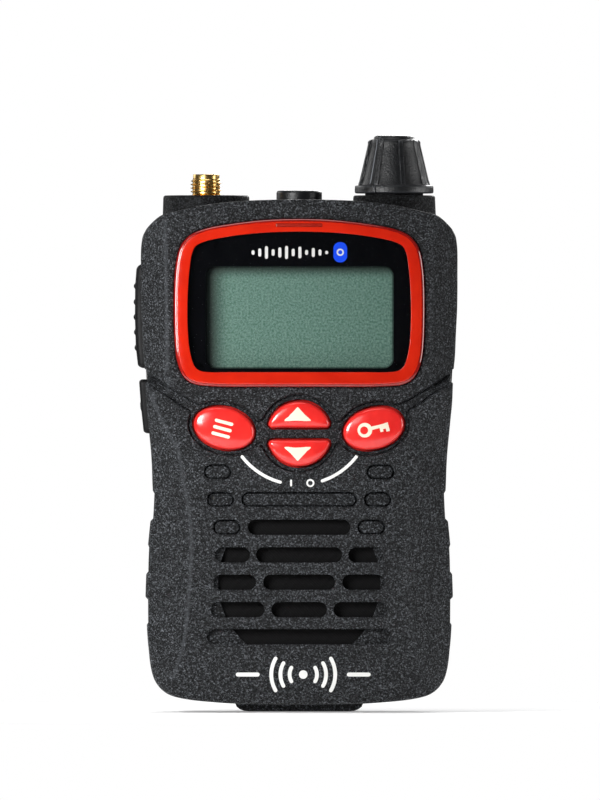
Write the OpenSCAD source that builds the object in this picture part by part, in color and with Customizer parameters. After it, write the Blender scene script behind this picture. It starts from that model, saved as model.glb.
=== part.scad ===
// Handheld two-way radio, built as separate sub-parts in one frame.
// Origin: centre of the flat foot on the bottom. +X right, +Y back, +Z up. Millimetres.

/* [Case] */
// Largest half width of the case at the display
case_half_w = 31.27; // [31:0.01:31.6]
// Height of the top arch above the foot
case_top = 101.06; // [100.5:0.01:101.5]
// Distance from the origin forward to the front face
front_depth = 15.5; // [15:0.1:16]
// Distance forward to the front of the side walls
side_depth = 10.2; // [9:0.1:11]
// Case wall thickness
wall = 1.8; // [1.6:0.1:2]
// Depth of the recessed band round the keys
band_depth = 0.55; // [0.3:0.05:0.8]
// Depth of the blind grille slots
slot_depth = 0.9; // [0.5:0.1:1.2]
// Radius of the round grille opening over the speaker
grille_r = 16; // [15:0.5:16.5]

/* [Antenna jack] */
// Distance of the jack from the centre line
jack_x = 18.4; // [18:0.1:19]
// Major radius of the antenna thread
jack_r = 3.175; // [3.1:0.005:3.2]
// Top of the jack
jack_top = 106.2; // [105.5:0.1:107]

/* [Knob] */
// Distance of the knob from the centre line
knob_x = 18.8; // [18.4:0.1:19]
// Radius of the knob skirt
knob_r = 7.8; // [7.4:0.1:8]
// Top of the knob
knob_top = 114; // [112:0.1:115]
// Number of ribs round the knob
knob_ribs = 8; // [6:1:12]

/* [Keys] */
// Clearance round each key
key_gap = 0.3; // [0.25:0.05:0.4]
// Travel of the front keys
key_travel = 0.6; // [0.4:0.1:0.6]
// Height of the front keys above the case face
key_proud = 1.2; // [0.8:0.1:1.5]

/* [Battery and clip] */
// Distance from the origin back to the rear of the battery
rear_depth = 17.7; // [17:0.1:19]
// Battery half width
batt_half_w = 27.5; // [26:0.1:28]
// Belt clip half width
clip_half_w = 9; // [7:0.5:10]

/* [Hidden] */
yf = -front_depth;
ys = -side_depth;
yi = yf + wall;        // inner face of the front wall
yp = 2;                // rear edge of the lower front case
ch0 = 2.8;             // front edge of the chassis
ch1 = 8;               // back of the chassis
tz = case_top;
axis_y = 2;            // the jack, the button and the knob stand on this line
black = [0.13, 0.14, 0.15];
red = [0.78, 0.12, 0.08];
gold = [0.85, 0.65, 0.25];
steel = [0.7, 0.7, 0.72];
green = [0.1, 0.35, 0.2];

// ---- outline of the case, right half, from the foot up ----
W = case_half_w;
half_low = [[14.2, 1.66], [22.2, 2.45], [25.3, 3.2], [26.75, 4], [27.6, 4.8], [28.2, 5.6], [28.65, 6.4], [29.15, 8], [29.5, 10],
  [29.7, 12], [29.9, 13.9], [30.1, 16.9], [29.75, 17.5], [29.85, 22.3], [30.35, 22.6], [30.2, 27.1], [29.85, 27.6], [29.65, 32.5],
  [29.8, 32.8], [29.4, 37.4], [28.75, 38.1], [28.5, 42.8], [28.9, 43.6], [29, 45.2], [29.1, 48.4], [29.3, 51.6], [29.6, 54.7],
  [29.9, 57.9], [30.2, 61], [30.35, 64.3]];
half_high = [[W - 0.67, 68.2], [W - 0.52, 69.8], [W - 0.27, 75.3], [W - 0.07, 79.2], [W, 83.2], [W, 90.6], [31.17, 92.2], [30.9, 93.8],
  [30.55, 94.56], [30.1, 95.35], [29.4, 96.15], [28.4, 97.1], [27.1, 98], [25, 98.6], [23, 99.06], [18.6, 99.97], [14.5, 100.55],
  [10.1, 100.9], [5, tz - 0.04], [0, tz]];
half_line = concat([[0, 1.4], [8, 1.45]], half_low, [[29.95, 65], [29.95, 67.5]], half_high);
// the same outline without the band notch and the grip grooves
half_plain = concat([[0, 1.4], [8, 1.45]], [for (p = half_low) if (p[1] < 17 || p[1] > 43) p], [[30.45, 65], [30.6, 67.5]], half_high);
function mirror_line(h) = concat(h, [for (i = [len(h) - 2:-1:1]) [-h[i][0], h[i][1]]]);

// Extrude a 2D shape drawn in X and Z from y0 back to y1.
module plate(y0, y1) translate([0, y1, 0]) rotate([90, 0, 0]) linear_extrude(height = y1 - y0) children();
module rod(x, z, r, y0, y1) translate([x, y1, z]) rotate([90, 0, 0]) cylinder(r = r, h = y1 - y0, $fn = 64);
module box(x0, x1, y0, y1, z0, z1) translate([x0, y0, z0]) cube([x1 - x0, y1 - y0, z1 - z0]);
module post(x, y, r, z0, z1) translate([x, y, z0]) cylinder(r = r, h = z1 - z0, $fn = 64);

module outline() polygon(mirror_line(half_line));
module plain_outline(d = 0) offset(delta = -d) polygon(mirror_line(half_plain));
module rounded(x0, x1, z0, z1, r) polygon(concat(
  [for (a = [180:15:270]) [x0 + r + r * cos(a), z0 + r + r * sin(a)]], [for (a = [270:15:360]) [x1 - r + r * cos(a), z0 + r + r * sin(a)]],
  [for (a = [0:15:90]) [x1 - r + r * cos(a), z1 - r + r * sin(a)]], [for (a = [90:15:180]) [x0 + r + r * cos(a), z1 - r + r * sin(a)]]));

// ---- bevelled front shell ----
// Side of the bevel nearest the middle: upper bevel down to the band, lower bevel from the side at the band inwards.
crease = [[1, 26], [5.2, 25.1], [9, 24], [13.9, 22.6], [20, 22], [26.8, 21.5], [31.8, 21.3], [36.5, 21.4], [41.7, 22.1], [45.8, 22.9],
  [49.2, 23.4], [52.2, 24.1], [55.3, 26], [59.5, 28], [64.2, 29.7], [66.6, 26], [83, 26.2], [102, 26.5]];
side = [[1, 30.1], [16.9, 30.1], [22.6, 30.35], [37.4, 29.6], [43.6, 29.1], [52, 29.4], [61, 30.2], [66.6, 30.6], [75.3, 31], [83, 31.27], [102, 31.27]];
stations = [0.5, 5.2, 9, 13.9, 20, 26.8, 31.8, 36.5, 41.7, 45.8, 49.2, 52.2, 55.3, 59.5, 64.2, 66.6, 75.3, 83, 92, 102.5];
module front_loft(d = 0, back = 2) {
  n = len(stations);
  pts = [for (z = stations) let (s = lookup(z, side) - d + 0.02, c = min(lookup(z, crease), lookup(z, side) - 0.5) - 0.4 * d, f = yf + d, e = ys + 0.45 * d)
    each [[-s, back, z], [-s, e, z], [-c, f, z], [c, f, z], [s, e, z], [s, back, z]]];
  polyhedron(points = pts, faces = concat([[0, 1, 2, 3, 4, 5]], [[for (k = [5:-1:0]) (n - 1) * 6 + k]],
    [for (i = [0:n - 2]) for (k = [0:5]) let (a = i * 6 + k, b = i * 6 + (k + 1) % 6) each [[a, b + 6, b], [a, a + 6, b + 6]]]));
}

// ---- features on the front ----
module oval(cx, cz, a, b, tilt, g = 0) translate([cx, cz]) rotate(tilt)
  polygon([for (t = [0:7.5:352.5]) [(a + g) * cos(t), (b + g) * sin(t)]]);
module half_round(up, g = 0) intersection() {
  translate([0, 54.85]) circle(r = 6.45 + g, $fn = 64);
  translate([-8, up ? 56 - g : 40]) square([16, up ? 20 : 53.7 + g - 40]);
}
module menu_shape(g = 0) oval(-14.8, 55.96, 6.15, 4.12, -15, g);
module lock_shape(g = 0) oval(14.7, 55.9, 6.12, 4.12, 15, g);
module key_holes(g) { menu_shape(g); lock_shape(g); half_round(true, g); half_round(false, g); }
band_half = [[30.6, 67.4], [25.6, 64.15], [21.9, 61.9], [19, 61.2], [15, 61.1], [11, 60], [8.4, 58.1], [8.4, 52.1], [11, 50.6], [15, 50.7], [19.5, 52.4],
  [21.6, 55], [21.9, 57.6], [21.3, 59], [24.3, 60.9], [26.6, 62.6], [30.6, 65]];
module band() {
  polygon(band_half);
  polygon([for (p = band_half) [-p[0], p[1]]]);
  translate([0, 54.9]) circle(r = 7.9, $fn = 64);
  translate([-9, 52.6]) square([18, 5]);
}
module slot(x0, x1, z) translate([0, z]) union() {
  translate([x0 + 1.5, -1.5]) square([x1 - x0 - 3, 3]);
  for (x = [x0 + 1.5, x1 - 1.5]) translate([x, 0]) circle(r = 1.5, $fn = 32);
}
module slots() {
  for (s = [[13.3, 18.8, 47.3], [12.8, 18.2, 41.85], [11.5, 17, 36.4], [9.7, 16.6, 30.95], [8.5, 16.9, 25.55], [6.8, 17.4, 20.15]]) {
    slot(s[0], s[1], s[2]);
    slot(-s[1], -s[0], s[2]);
  }
  for (s = [[11.4, 41.85], [10.1, 36.4], [8.5, 30.95], [7.1, 25.55], [5.5, 20.15], [18.2, 14.8]]) slot(-s[0], s[0], s[1]);
}
ring_out = [[0, 64.03], [16, 64.1], [20.7, 64.6], [22.4, 65.7], [23.25, 66.9], [23.85, 68.1], [24.3, 70], [24.6, 73], [24.75, 77], [24.75, 82], [24.6, 86],
  [24.35, 88.3], [23.9, 90.7], [23.45, 91.85], [22.65, 93], [21.5, 94.2], [18.5, 95.4], [11.2, 96.6], [5.5, 97.15], [0, 97.3]];
ring_in = [[0, 67], [18.5, 67], [20, 67.3], [20.8, 68.2], [21.3, 69.6], [21.7, 72], [22, 76], [22, 82], [21.6, 87.5], [21.1, 90.7], [20.4, 91.85],
  [18.6, 92.7], [15.3, 93.5], [10.4, 94.2], [5, 94.6], [0, 94.72]];
module ring_shape(d = 0) offset(delta = d) polygon(mirror_line(ring_out));
module glass_shape(d = 0) offset(delta = d) polygon(mirror_line(ring_in));
screw_at = [[24.4, 11], [24.4, 47.5]];
module at_screws() for (p = screw_at) for (s = [-1, 1]) translate([s * p[0], 0, p[1]]) children();
module foot(y0, y1) plate(y0, y1) polygon([[-9.9, 0], [9.9, 0], [11.6, 0.4], [12.6, 1.4], [12.6, 2.6], [-12.6, 2.6], [-12.6, 1.4], [-11.6, 0.4]]);

// Textured plastic shell: bevelled front, side walls, and a hood that covers the whole depth at the top.
module front_case() color(black) difference() {
  union() {
    intersection() {
      plate(yf - 1, 16) outline();
      union() {
        difference() {
          front_loft();
          difference() {
            plate(yf - 2, yp - 0.01) band();
            front_loft(band_depth, yp);
          }
        }
        box(-32, 32, 1.99, 16, 86.3, 102);
      }
    }
    // bosses on top
    translate([-jack_x, axis_y, 97]) cylinder(r1 = 8.65, r2 = 8.45, h = 5, $fn = 96);
    translate([knob_x, axis_y, 97]) cylinder(r1 = 8.3, r2 = 8.05, h = 5, $fn = 96);
    foot(-9.5, yp);
  }
  // inside of the shell
  difference() {
    intersection() {
      plate(yi, 14.2) plain_outline(wall);
      union() {
        front_loft(wall, 3);
        box(-29.4, 29.4, 1.9, 14.2, 88.1, 98.2);
      }
    }
    box(-40, 40, ys, 20, 98.2, 110);
    // thicker roof at the jack and the knob
    post(-jack_x, axis_y, 7, 97.6, 99);
    post(knob_x, axis_y, 7, 97.6, 99);
    // pillars for the case screws
    at_screws() translate([0, 2, 0]) rotate([90, 0, 0]) cylinder(r = 2.7, h = 20, $fn = 48);
  }
  at_screws() translate([0, 2.5, 0]) rotate([90, 0, 0]) cylinder(r = 1, h = 9, $fn = 32);
  // display opening, keys, grille and microphone
  plate(yf - 1, yi + 0.01) ring_shape(0.05);
  plate(yf - 1, yi + 0.01) key_holes(key_gap);
  plate(yf - 1, yf + slot_depth) slots();
  intersection() {
    plate(yf - 1, yi + 0.01) slots();
    rod(0, 25.5, grille_r, yf - 2, yi + 1);
  }
  rod(-17.1, 42.2, 0.35, yf - 1, yi + 0.1);
  // side key openings and the accessory opening
  box(-35, -28, -8.3, 0.5, 67.5, 88.7);
  box(-35, -28, -7, -0.7, 54.6, 65.9);
  box(29.5, 33, -7.8, 0.9, 67.7, 84.3);
  box(28, 33, -6.6, -0.8, 69.5, 82.5);
  box(-29.2, -25, -9.3, 1.4, 66.8, 89.4);
  box(-28.6, -25, -7.9, 0.2, 54, 66.6);
  // jack, knob and button holes
  box(knob_x - 5.7, knob_x + 5.7, axis_y - 5.7, axis_y + 5.7, 90, 97.6);
  box(-jack_x - 4.4, -jack_x + 4.4, axis_y - 4.4, axis_y + 4.4, 90, 97.6);
  post(-jack_x, axis_y, 3.05, 97, 104);
  post(knob_x, axis_y, 3.6, 97, 104);
  post(0, axis_y, 4.8, 97, 104);
}
// Rear chassis: tray that closes the lower case and carries the battery.
module rear_chassis() color([0.2, 0.2, 0.21]) difference() {
  union() {
    difference() {
      intersection() {
        plate(ch0, ch1) plain_outline(0.25);
        box(-40, 40, 0, 20, 0, 86.1);
      }
      intersection() {
        plate(ch0 - 1, ch1 - 1.6) plain_outline(2.2);
        box(-40, 40, -5, 20, 0, 84.3);
      }
    }
    foot(ch0, ch1);
    at_screws() translate([0, ch1, 0]) rotate([90, 0, 0]) cylinder(r = 2.6, h = ch1 - ch0 + 0.4, $fn = 48);
  }
  // latch pocket, locating pockets, contact window, screw holes
  box(-6.4, 6.4, 6, 9, -1, 2.6);
  for (s = [-1, 1]) box(s * 15 - 2.4, s * 15 + 2.4, 6, 9, 77.5, 82.5);
  box(-10, 10, 5, 9, 20, 24);
  at_screws() translate([0, 9, 0]) rotate([90, 0, 0]) cylinder(r = 1.15, h = 9, $fn = 32);
  at_screws() translate([0, 8.01, 0]) rotate([90, 0, 0]) cylinder(r = 2.1, h = 2.2, $fn = 32);
}
module case_seal() color([0.05, 0.05, 0.05]) intersection() {
  plate(yp, ch0) difference() { plain_outline(0.45); plain_outline(1.6); }
  box(-40, 40, 0, 5, 0, 86.3);
}

// ---- display ----
module display_bezel() color(red) difference() {
  union() {
    plate(yf - 0.8, yi) ring_shape();
    plate(yi, yi + 0.75) ring_shape(0.4);
  }
  plate(yf - 2, yi + 2) glass_shape();
  plate(yf - 2, yf + 0.6) translate([-4.6, 95.75]) square([9.2, 1.1]);
}
module status_light_pipe() color([0.9, 0.9, 0.85, 0.8]) plate(yf - 0.7, yf + 0.6) translate([-4.6, 95.75]) square([9.2, 1.1]);
module display_window() color([0.1, 0.12, 0.12, 0.35]) plate(yf - 0.4, yf + 0.9) glass_shape(-0.05);
module window_mask() color([0.03, 0.03, 0.04]) plate(yf + 0.9, yf + 1.2) difference() { glass_shape(-0.05); rounded(-18.5, 18.6, 67.75, 87.9, 1.9); }
module lcd_panel() color([0.4, 0.5, 0.45]) box(-20.3, 20.3, -12.9, -11.7, 66.4, 89.6);
module lcd_backlight() color([0.9, 0.9, 0.88]) union() {
  box(-20.6, 20.6, -11.7, -10.6, 65.6, 90);
  for (x = [-20.6, 20.3]) box(x, x + 0.3, -12.9, -11.7, 65.6, 90);
}

// ---- speaker and microphone ----
module speaker_cloth() color([0.07, 0.07, 0.07]) rod(0, 25.5, 17.2, yi, yi + 0.3);
module ring_about(z, y) translate([0, y, z]) rotate([90, 0, 0]) rotate_extrude($fn = 96) children();
module speaker_basket() color(steel) ring_about(25.5, -6.4)
  polygon([[0, 0], [9.5, 0], [9.5, 2.6], [13, 3], [15.4, 5.2], [17.6, 5.6], [17.6, 6.9], [15.8, 6.9], [15.3, 6.2], [12.6, 4], [7.4, 3.6], [7.4, 3.2], [6.4, 3.2], [6.4, 4.2], [0, 4.2]]);
module speaker_cone() color([0.2, 0.2, 0.2]) ring_about(25.5, -6.4)
  polygon([[0, 5.4], [6.9, 4.6], [6.9, 3.7], [7.2, 3.7], [7.2, 4.6], [13.6, 6.1], [14.6, 6.55], [15.6, 6.7], [15.6, 6.88], [14.5, 6.82], [13.4, 6.4], [7.1, 5], [4, 5.8], [0, 6.1]]);
module microphone() color(steel) union() { rod(-17.1, 42.2, 3, yi + 0.1, -11.4); rod(-17.1, 42.2, 2.2, -11.4, -10.9); }

// ---- front keys ----
module key(shape) color(red) union() {
  difference() {
    union() {
      plate(yf - key_proud + 0.45, yi + 0.1) children();
      plate(yf - key_proud, yf - key_proud + 0.45) offset(delta = -0.45) children();
    }
  }
  plate(yi + 0.1, yi + 0.85) offset(delta = 0.75) children();
}
module key_menu() key() menu_shape();
module key_lock() key() lock_shape();
module key_up() color(red) union() {
  plate(yf - key_proud + 0.45, yi + 0.1) half_round(true);
  plate(yf - key_proud, yf - key_proud + 0.45) offset(delta = -0.45) half_round(true);
  plate(yi + 0.1, yi + 0.85) intersection() { half_round(true, 0.75); translate([-9, 55.7]) square([18, 9]); }
}
module key_down() color(red) union() {
  plate(yf - key_proud + 0.45, yi + 0.1) half_round(false);
  plate(yf - key_proud, yf - key_proud + 0.45) offset(delta = -0.45) half_round(false);
  plate(yi + 0.1, yi + 0.85) intersection() { half_round(false, 0.75); translate([-9, 45]) square([18, 9]); }
}
key_at = [[-14.8, 55.96], [14.7, 55.9], [0, 58.7], [0, 51]];
module keypad_mat() color([0.75, 0.75, 0.72]) union() {
  plate(-11.9, -11.2) rounded(-22, 22, 47.6, 63.4, 3);
  for (k = key_at) rod(k[0], k[1], 1.6, -12.1, -11.9);
}
module dome_switches() color(steel) for (k = key_at) union() { rod(k[0], k[1], 2.4, -10.9, -10.6); rod(k[0], k[1], 1.4, -11.2, -10.9); }
module control_board() color(green) plate(-10.6, -9.6) polygon([[-19.5, 46.2], [19.5, 46.2], [22, 52], [22.4, 92], [19.5, 95.5], [-19.5, 95.5], [-22.4, 92], [-22, 52]]);
module main_board() color(green) union() {
  difference() {
    box(-21.4, 21.4, 2.9, 3.9, 8, 84);
    for (s = [-1, 1]) rod(s * 24.4, 47.5, 4, 2, 5);
  }
  for (c = [[-15, 70, 8, 6], [2, 73, 10, 7], [12, 60, 6, 9], [-16, 52, 5, 5], [-6, 12, 9, 5], [8, 14, 6, 6]]) box(c[0], c[0] + c[2], 1.7, 2.9, c[1], c[1] + c[3]);
  box(-9, 9, -9.6 + 4, 2.9, 48.5, 51);
}
module rf_shield() color(steel) difference() { box(-13, 10, 0.6, 2.9, 24, 46); box(-12.7, 9.7, 0.9, 3, 24.3, 45.7); }

// ---- antenna jack ----
module antenna_connector() color(gold) difference() {
  union() {
    post(-jack_x, axis_y, 3, 97.6, 102);
    post(-jack_x, axis_y, jack_r, 102, 105.25);
    post(-jack_x, axis_y, 2.6, 105.2, jack_top);
    box(-jack_x - 4.2, -jack_x + 4.2, axis_y - 4.2, axis_y + 4.2, 96, 97.6);
  }
  post(-jack_x, axis_y, 2.3, 103.4, 110);
  post(-jack_x, axis_y, 2.05, 95, 103.5);
}
module antenna_insulator() color([0.92, 0.92, 0.9]) difference() { post(-jack_x, axis_y, 2.05, 94.8, 103.4); post(-jack_x, axis_y, 0.65, 94, 104); }
module antenna_contact() color(gold) difference() { post(-jack_x, axis_y, 0.65, 93.2, 103.4); post(-jack_x, axis_y, 0.48, 100.6, 104); }
module antenna_nut() color(steel) difference() {
  translate([-jack_x, axis_y, 94.8]) cylinder(r = 4.2, h = 1.2, $fn = 6);
  post(-jack_x, axis_y, 2.05, 94, 97);
}

// ---- encoder, knob and button ----
module encoder_body() color(steel) difference() {
  union() {
    box(knob_x - 5.5, knob_x + 5.5, axis_y - 5.5, axis_y + 5.5, 91.6, 97.6);
    post(knob_x, axis_y, 3.5, 97.6, 104.6);
    for (x = [-2.5, 0, 2.5]) box(knob_x + x - 0.4, knob_x + x + 0.4, axis_y + 5.5, axis_y + 7.5, 92.5, 93);
  }
  post(knob_x, axis_y, 3.05, 92.9, 106);
}
module encoder_nut() color(steel) difference() { translate([knob_x, axis_y, 102]) cylinder(r = 5.1, h = 1.5, $fn = 6); post(knob_x, axis_y, 3.5, 101, 104); }
module encoder_shaft() color(steel) post(knob_x, axis_y, 3, 93, 111.5);
module knob() color(black) difference() {
  translate([knob_x, axis_y, 0]) union() {
    rotate_extrude($fn = 96) polygon([[0, 102.4], [knob_r - 0.25, 102.4], [knob_r, 102.65], [knob_r - 0.1, 103.75], [knob_r - 0.35, 104], [6.8, 104], [4.72, 112.7],
      [4.05, 112.95], [3.95, 113.45], [3.2, 113.85], [2, knob_top - 0.02], [0, knob_top]]);
    intersection() {
      rotate_extrude($fn = 96) polygon([[0, 103.5], [7.2, 103.5], [7.18, 104], [5.05, 113], [4.85, 113.1], [0, 113.1]]);
      union() for (i = [0:knob_ribs - 1]) rotate([0, 0, i * 360 / knob_ribs - 90 + 14.5]) translate([3, -0.4, 103.8]) cube([5, 0.8, 9.3]);
    }
    // pointer line down the skirt
    rotate([0, 0, -90 - 30.5]) translate([6, -0.35, 102.5]) cube([knob_r - 5.9, 0.7, 1.5]);
  }
  post(knob_x, axis_y, 3, 102, 111.5);
  post(knob_x, axis_y, 5.9, 102, 105.1);
}
module top_button() color(black) union() {
  translate([0, axis_y, 0]) rotate_extrude($fn = 96) polygon([[0, 98.2], [4.5, 98.2], [4.5, 102.55], [4.35, 102.9], [4, 103.05], [0, 103.05]]);
  post(0, axis_y, 5.5, 97.2, 98);
  post(0, axis_y, 4.5, 97.9, 98.3);
  post(0, axis_y, 1.5, 96.2, 97.3);
}
module top_switch() color(black) union() { box(-3.2, 3.2, axis_y - 3.2, axis_y + 3.2, 91.8, 95); post(0, axis_y, 1.5, 95, 95.5); box(-9, 9, axis_y - 4, axis_y + 5, 91, 91.8); }

// ---- side keys, switches and accessory cover ----
module ptt_key() color([0.1, 0.1, 0.11]) union() {
  plate(-8, 0.2) polygon([[-28.9, 67.8], [-31.5, 67.8], [-31.9, 68.4], [-32.4, 72], [-32.55, 78], [-32.5, 84], [-32.3, 87.4], [-31.9, 88.3], [-31.5, 88.4], [-28.9, 88.4]]);
  box(-28.9, -28.1, -8.9, 1, 67.1, 89.1);
  for (z = [71.8, 74.9, 77.9, 80.9, 84.05]) box(-32.8, -32, -7, -0.8, z - 0.4, z + 0.4);
}
module monitor_key() color([0.1, 0.1, 0.11]) union() {
  plate(-6.7, -1) polygon([[-28.7, 54.9], [-30.5, 54.9], [-30.75, 55.3], [-31.3, 60], [-31.7, 65.1], [-31.5, 65.6], [-28.7, 65.6]]);
  box(-28.3, -27.6, -7.5, -0.2, 54.3, 66.3);
  box(-28.8, -28.2, -6.7, -1, 54.9, 65.6);
}
module side_switches() color(steel) for (z = [60.3, 74, 82]) union() { box(-26.2, -24.9, -6.2, -1.4, z - 2.4, z + 2.4); translate([-26.2, -3.8, z]) rotate([0, -90, 0]) cylinder(r = 1, h = z > 70 ? 0.8 : 0.4, $fn = 32); }
module side_board() color(green) box(-24.9, -23.9, -8.2, 0.6, 53.5, 89.5);
module jack_cover() color([0.08, 0.08, 0.085]) union() {
  plate(-7.5, 0.1) polygon([[29.7, 68], [30.5, 68], [30.95, 76], [31.15, 84], [29.7, 84]]);
  post(30.6, 0.1, 0.45, 74, 84);
}
module jack_block() color([0.06, 0.06, 0.06]) difference() {
  box(20, 28.3, -7.4, 0, 68.6, 83.4);
  translate([21.5, -3.7, 72.6]) rotate([0, 90, 0]) cylinder(r = 1.8, h = 9, $fn = 48);
  translate([21.5, -3.7, 79.4]) rotate([0, 90, 0]) cylinder(r = 1.3, h = 9, $fn = 48);
}
module case_screws() color(steel) at_screws() union() {
  translate([0, 6.6, 0]) rotate([90, 0, 0]) cylinder(r = 1, h = 12, $fn = 32);
  difference() { translate([0, 7.4, 0]) rotate([90, 0, 0]) cylinder(r = 1.9, h = 1.59, $fn = 32); for (a = [0, 90]) rotate([0, a, 0]) translate([-1.2, 6.9, -0.25]) cube([2.4, 1, 0.5]); }
}

// ---- battery, moves off straight back ----
module spring_contacts() color(gold) for (x = [-6, 0, 6]) union() { box(x - 1.2, x + 1.2, 3.9, 4.4, 20.6, 23.4); box(x - 1.2, x + 1.2, 4.4, 8.9, 22.8, 23.2); box(x - 1.2, x + 1.2, 8.6, 8.95, 20.9, 23.2); }
module battery_outline(d = 0) offset(delta = -d) polygon(concat(
  [for (a = [180:15:270]) [-batt_half_w + 6 + 6 * cos(a), 9.2 + 6 * sin(a)]], [for (a = [270:15:360]) [batt_half_w - 6 + 6 * cos(a), 9.2 + 6 * sin(a)]],
  [for (a = [0:30:90]) [batt_half_w - 1.5 + 1.5 * cos(a), 84.3 + 1.5 * sin(a)]], [for (a = [90:30:180]) [-batt_half_w + 1.5 + 1.5 * cos(a), 84.3 + 1.5 * sin(a)]]));
b0 = 8.15; b1 = 16.1;
module battery_case() color(black) difference() {
  union() {
    difference() {
      plate(b0, b1) battery_outline();
      difference() { plate(b0 + 1.4, b1 + 1) battery_outline(1.5); box(-8, 8, 0, 20, 0, 8.2); }
    }
    for (s = [-1, 1]) box(s * 15 - 2.1, s * 15 + 2.1, 6.7, b0 + 0.1, 77.8, 82.2);
  }
  // latch slot, contact window
  box(-4.3, 4.3, 9.6, 15.7, 2, 6.7);
  box(-5.8, 5.8, 9.6, 15.7, 5.2, 6.7);
  box(-9, 9, b0 - 1, 9.2, 19.5, 24.5);
  for (x = [-6, 0, 6]) box(x - 1.5, x + 1.5, 9, 10, 20.4, 23.6);
}
module battery_cover() color(black) union() {
  plate(b1, rear_depth - 0.6) battery_outline();
  plate(rear_depth - 0.6, rear_depth) battery_outline(0.6);
}
module battery_cell() color([0.25, 0.4, 0.65]) plate(10.6, 15.9) rounded(-24, 24, 13, 80, 2);
module battery_board() color(green) box(-18, 18, 10.1, 10.9, 9, 12.8);
module battery_contacts() color(gold) for (x = [-6, 0, 6]) box(x - 1.5, x + 1.5, 9, 9.55, 20.4, 23.6);
module battery_latch() color(black) union() {
  difference() {
    intersection() { foot(8.35, 15.9); box(-20, 20, 8, 20, -1, 2.6); }
    for (y = [11.5, 12.9, 14.3]) box(-7, 7, y, y + 0.6, -1, 0.4);
  }
  box(-5.8, 5.8, 6.4, 8.4, 0.6, 2.2);
  box(-4, 4, 9.9, 11.4, 2.5, 6.4);
  box(-5.4, 5.4, 9.9, 11.4, 5.5, 6.4);
}
// Round wire swept along a coil about Y (or X), with enough sides to look round.
module coil(r, w, len, turns) {
  n = turns * 16;
  m = 8;
  pts = [for (i = [0:n]) for (k = [0:m - 1]) let (a = i * 360 / 16, q = k * 360 / m, y = w + (len - 2 * w) * i / n) [(r + w * cos(q)) * cos(a), y + w * sin(q), (r + w * cos(q)) * sin(a)]];
  polyhedron(points = pts, faces = concat([[for (k = [0:m - 1]) k]], [[for (k = [m - 1:-1:0]) n * m + k]],
    [for (i = [0:n - 1]) for (k = [0:m - 1]) let (a = i * m + k, b = i * m + (k + 1) % m) each [[a, b + m, b], [a, a + m, b + m]]]));
}
module latch_spring() color(steel) translate([0, 11.4, 4.5]) coil(1.3, 0.2, 4.3, 5);

// ---- belt clip ----
px = [21.5, 78];  // pin centre, Y and Z
module clip_bracket() color([0.15, 0.15, 0.16]) difference() {
  union() {
    plate(rear_depth, rear_depth + 1.5) rounded(-12, 12, 67, 84.5, 2);
    for (x = [-12, 9.6]) hull() { box(x, x + 2.4, rear_depth + 1, rear_depth + 1.5, 72, 84); translate([x, px[0], px[1]]) rotate([0, 90, 0]) cylinder(r = 2.1, h = 2.4, $fn = 48); }
  }
  translate([-13, px[0], px[1]]) rotate([0, 90, 0]) cylinder(r = 1, h = 26, $fn = 32);
  for (x = [-6, 6]) rod(x, 70, 1.1, 16, 20);
  for (x = [-6, 6]) rod(x, 70, 2.1, rear_depth + 0.7, 20);
}
module clip_screws() color(steel) for (x = [-6, 6]) difference() { union() { rod(x, 70, 1.1, rear_depth, rear_depth + 0.7); rod(x, 70, 2, rear_depth + 0.7, rear_depth + 1.5); } for (a = [0, 90]) translate([x, 0, 70]) rotate([0, a, 0]) box(-1.2, 1.2, rear_depth + 1, rear_depth + 2, -0.25, 0.25); }
module clip_pin() color(steel) translate([-12, px[0], px[1]]) rotate([0, 90, 0]) cylinder(r = 1, h = 24, $fn = 32);
module clip_spring() color(steel) union() {
  translate([-2.4, px[0], px[1]]) rotate([0, 0, -90]) coil(1.45, 0.25, 4.8, 5.5);
  post(-2.15, px[0] - 1.45, 0.25, 72.5, 78);
  post(2.15, px[0] + 1.45, 0.25, 72.5, 78);
}
module belt_clip() color([0.12, 0.12, 0.13]) difference() {
  union() {
    // blade seen from the side, drawn in Y and Z
    translate([-clip_half_w, 0, 0]) rotate([90, 0, 90]) linear_extrude(height = 2 * clip_half_w) polygon([[23.2, 90], [24.6, 90.3], [25.3, 86], [25.4, 80], [25.4, 34], [24.4, 30],
      [21.6, 27.2], [19.4, 27.4], [18.6, 29], [19.2, 30.4], [21.2, 30], [22.8, 31.6], [23.6, 35], [23.6, 84]]);
    for (x = [-8.8, 3.6]) {
      translate([x, px[0], px[1]]) rotate([0, 90, 0]) cylinder(r = 1.9, h = 5.2, $fn = 48);
      box(x, x + 5.2, px[0], 23.8, px[1] - 1.8, px[1] + 1.8);
    }
  }
  translate([-13, px[0], px[1]]) rotate([0, 90, 0]) cylinder(r = 1.05, h = 26, $fn = 32);
  for (s = [-1, 1]) translate([s * 9.2, 0, 27]) rotate([0, s * 45, 0]) box(-1.6, 1.6, 17, 27, -1.6, 1.6);
}

front_case();
rear_chassis();
case_seal();
display_bezel();
display_window();
window_mask();
lcd_panel();
lcd_backlight();
status_light_pipe();
speaker_cloth();
speaker_basket();
speaker_cone();
microphone();
key_menu();
key_up();
key_down();
key_lock();
keypad_mat();
dome_switches();
control_board();
main_board();
rf_shield();
antenna_connector();
antenna_insulator();
antenna_contact();
antenna_nut();
encoder_body();
encoder_nut();
encoder_shaft();
knob();
top_button();
top_switch();
ptt_key();
monitor_key();
side_switches();
side_board();
jack_cover();
jack_block();
case_screws();
spring_contacts();
battery_case();
battery_cover();
battery_cell();
battery_board();
battery_contacts();
battery_latch();
latch_spring();
clip_bracket();
clip_screws();
clip_pin();
clip_spring();
belt_clip();
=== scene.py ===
import math
import bpy
import bmesh
import numpy as np
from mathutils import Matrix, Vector
from mathutils.geometry import delaunay_2d_cdt


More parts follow.
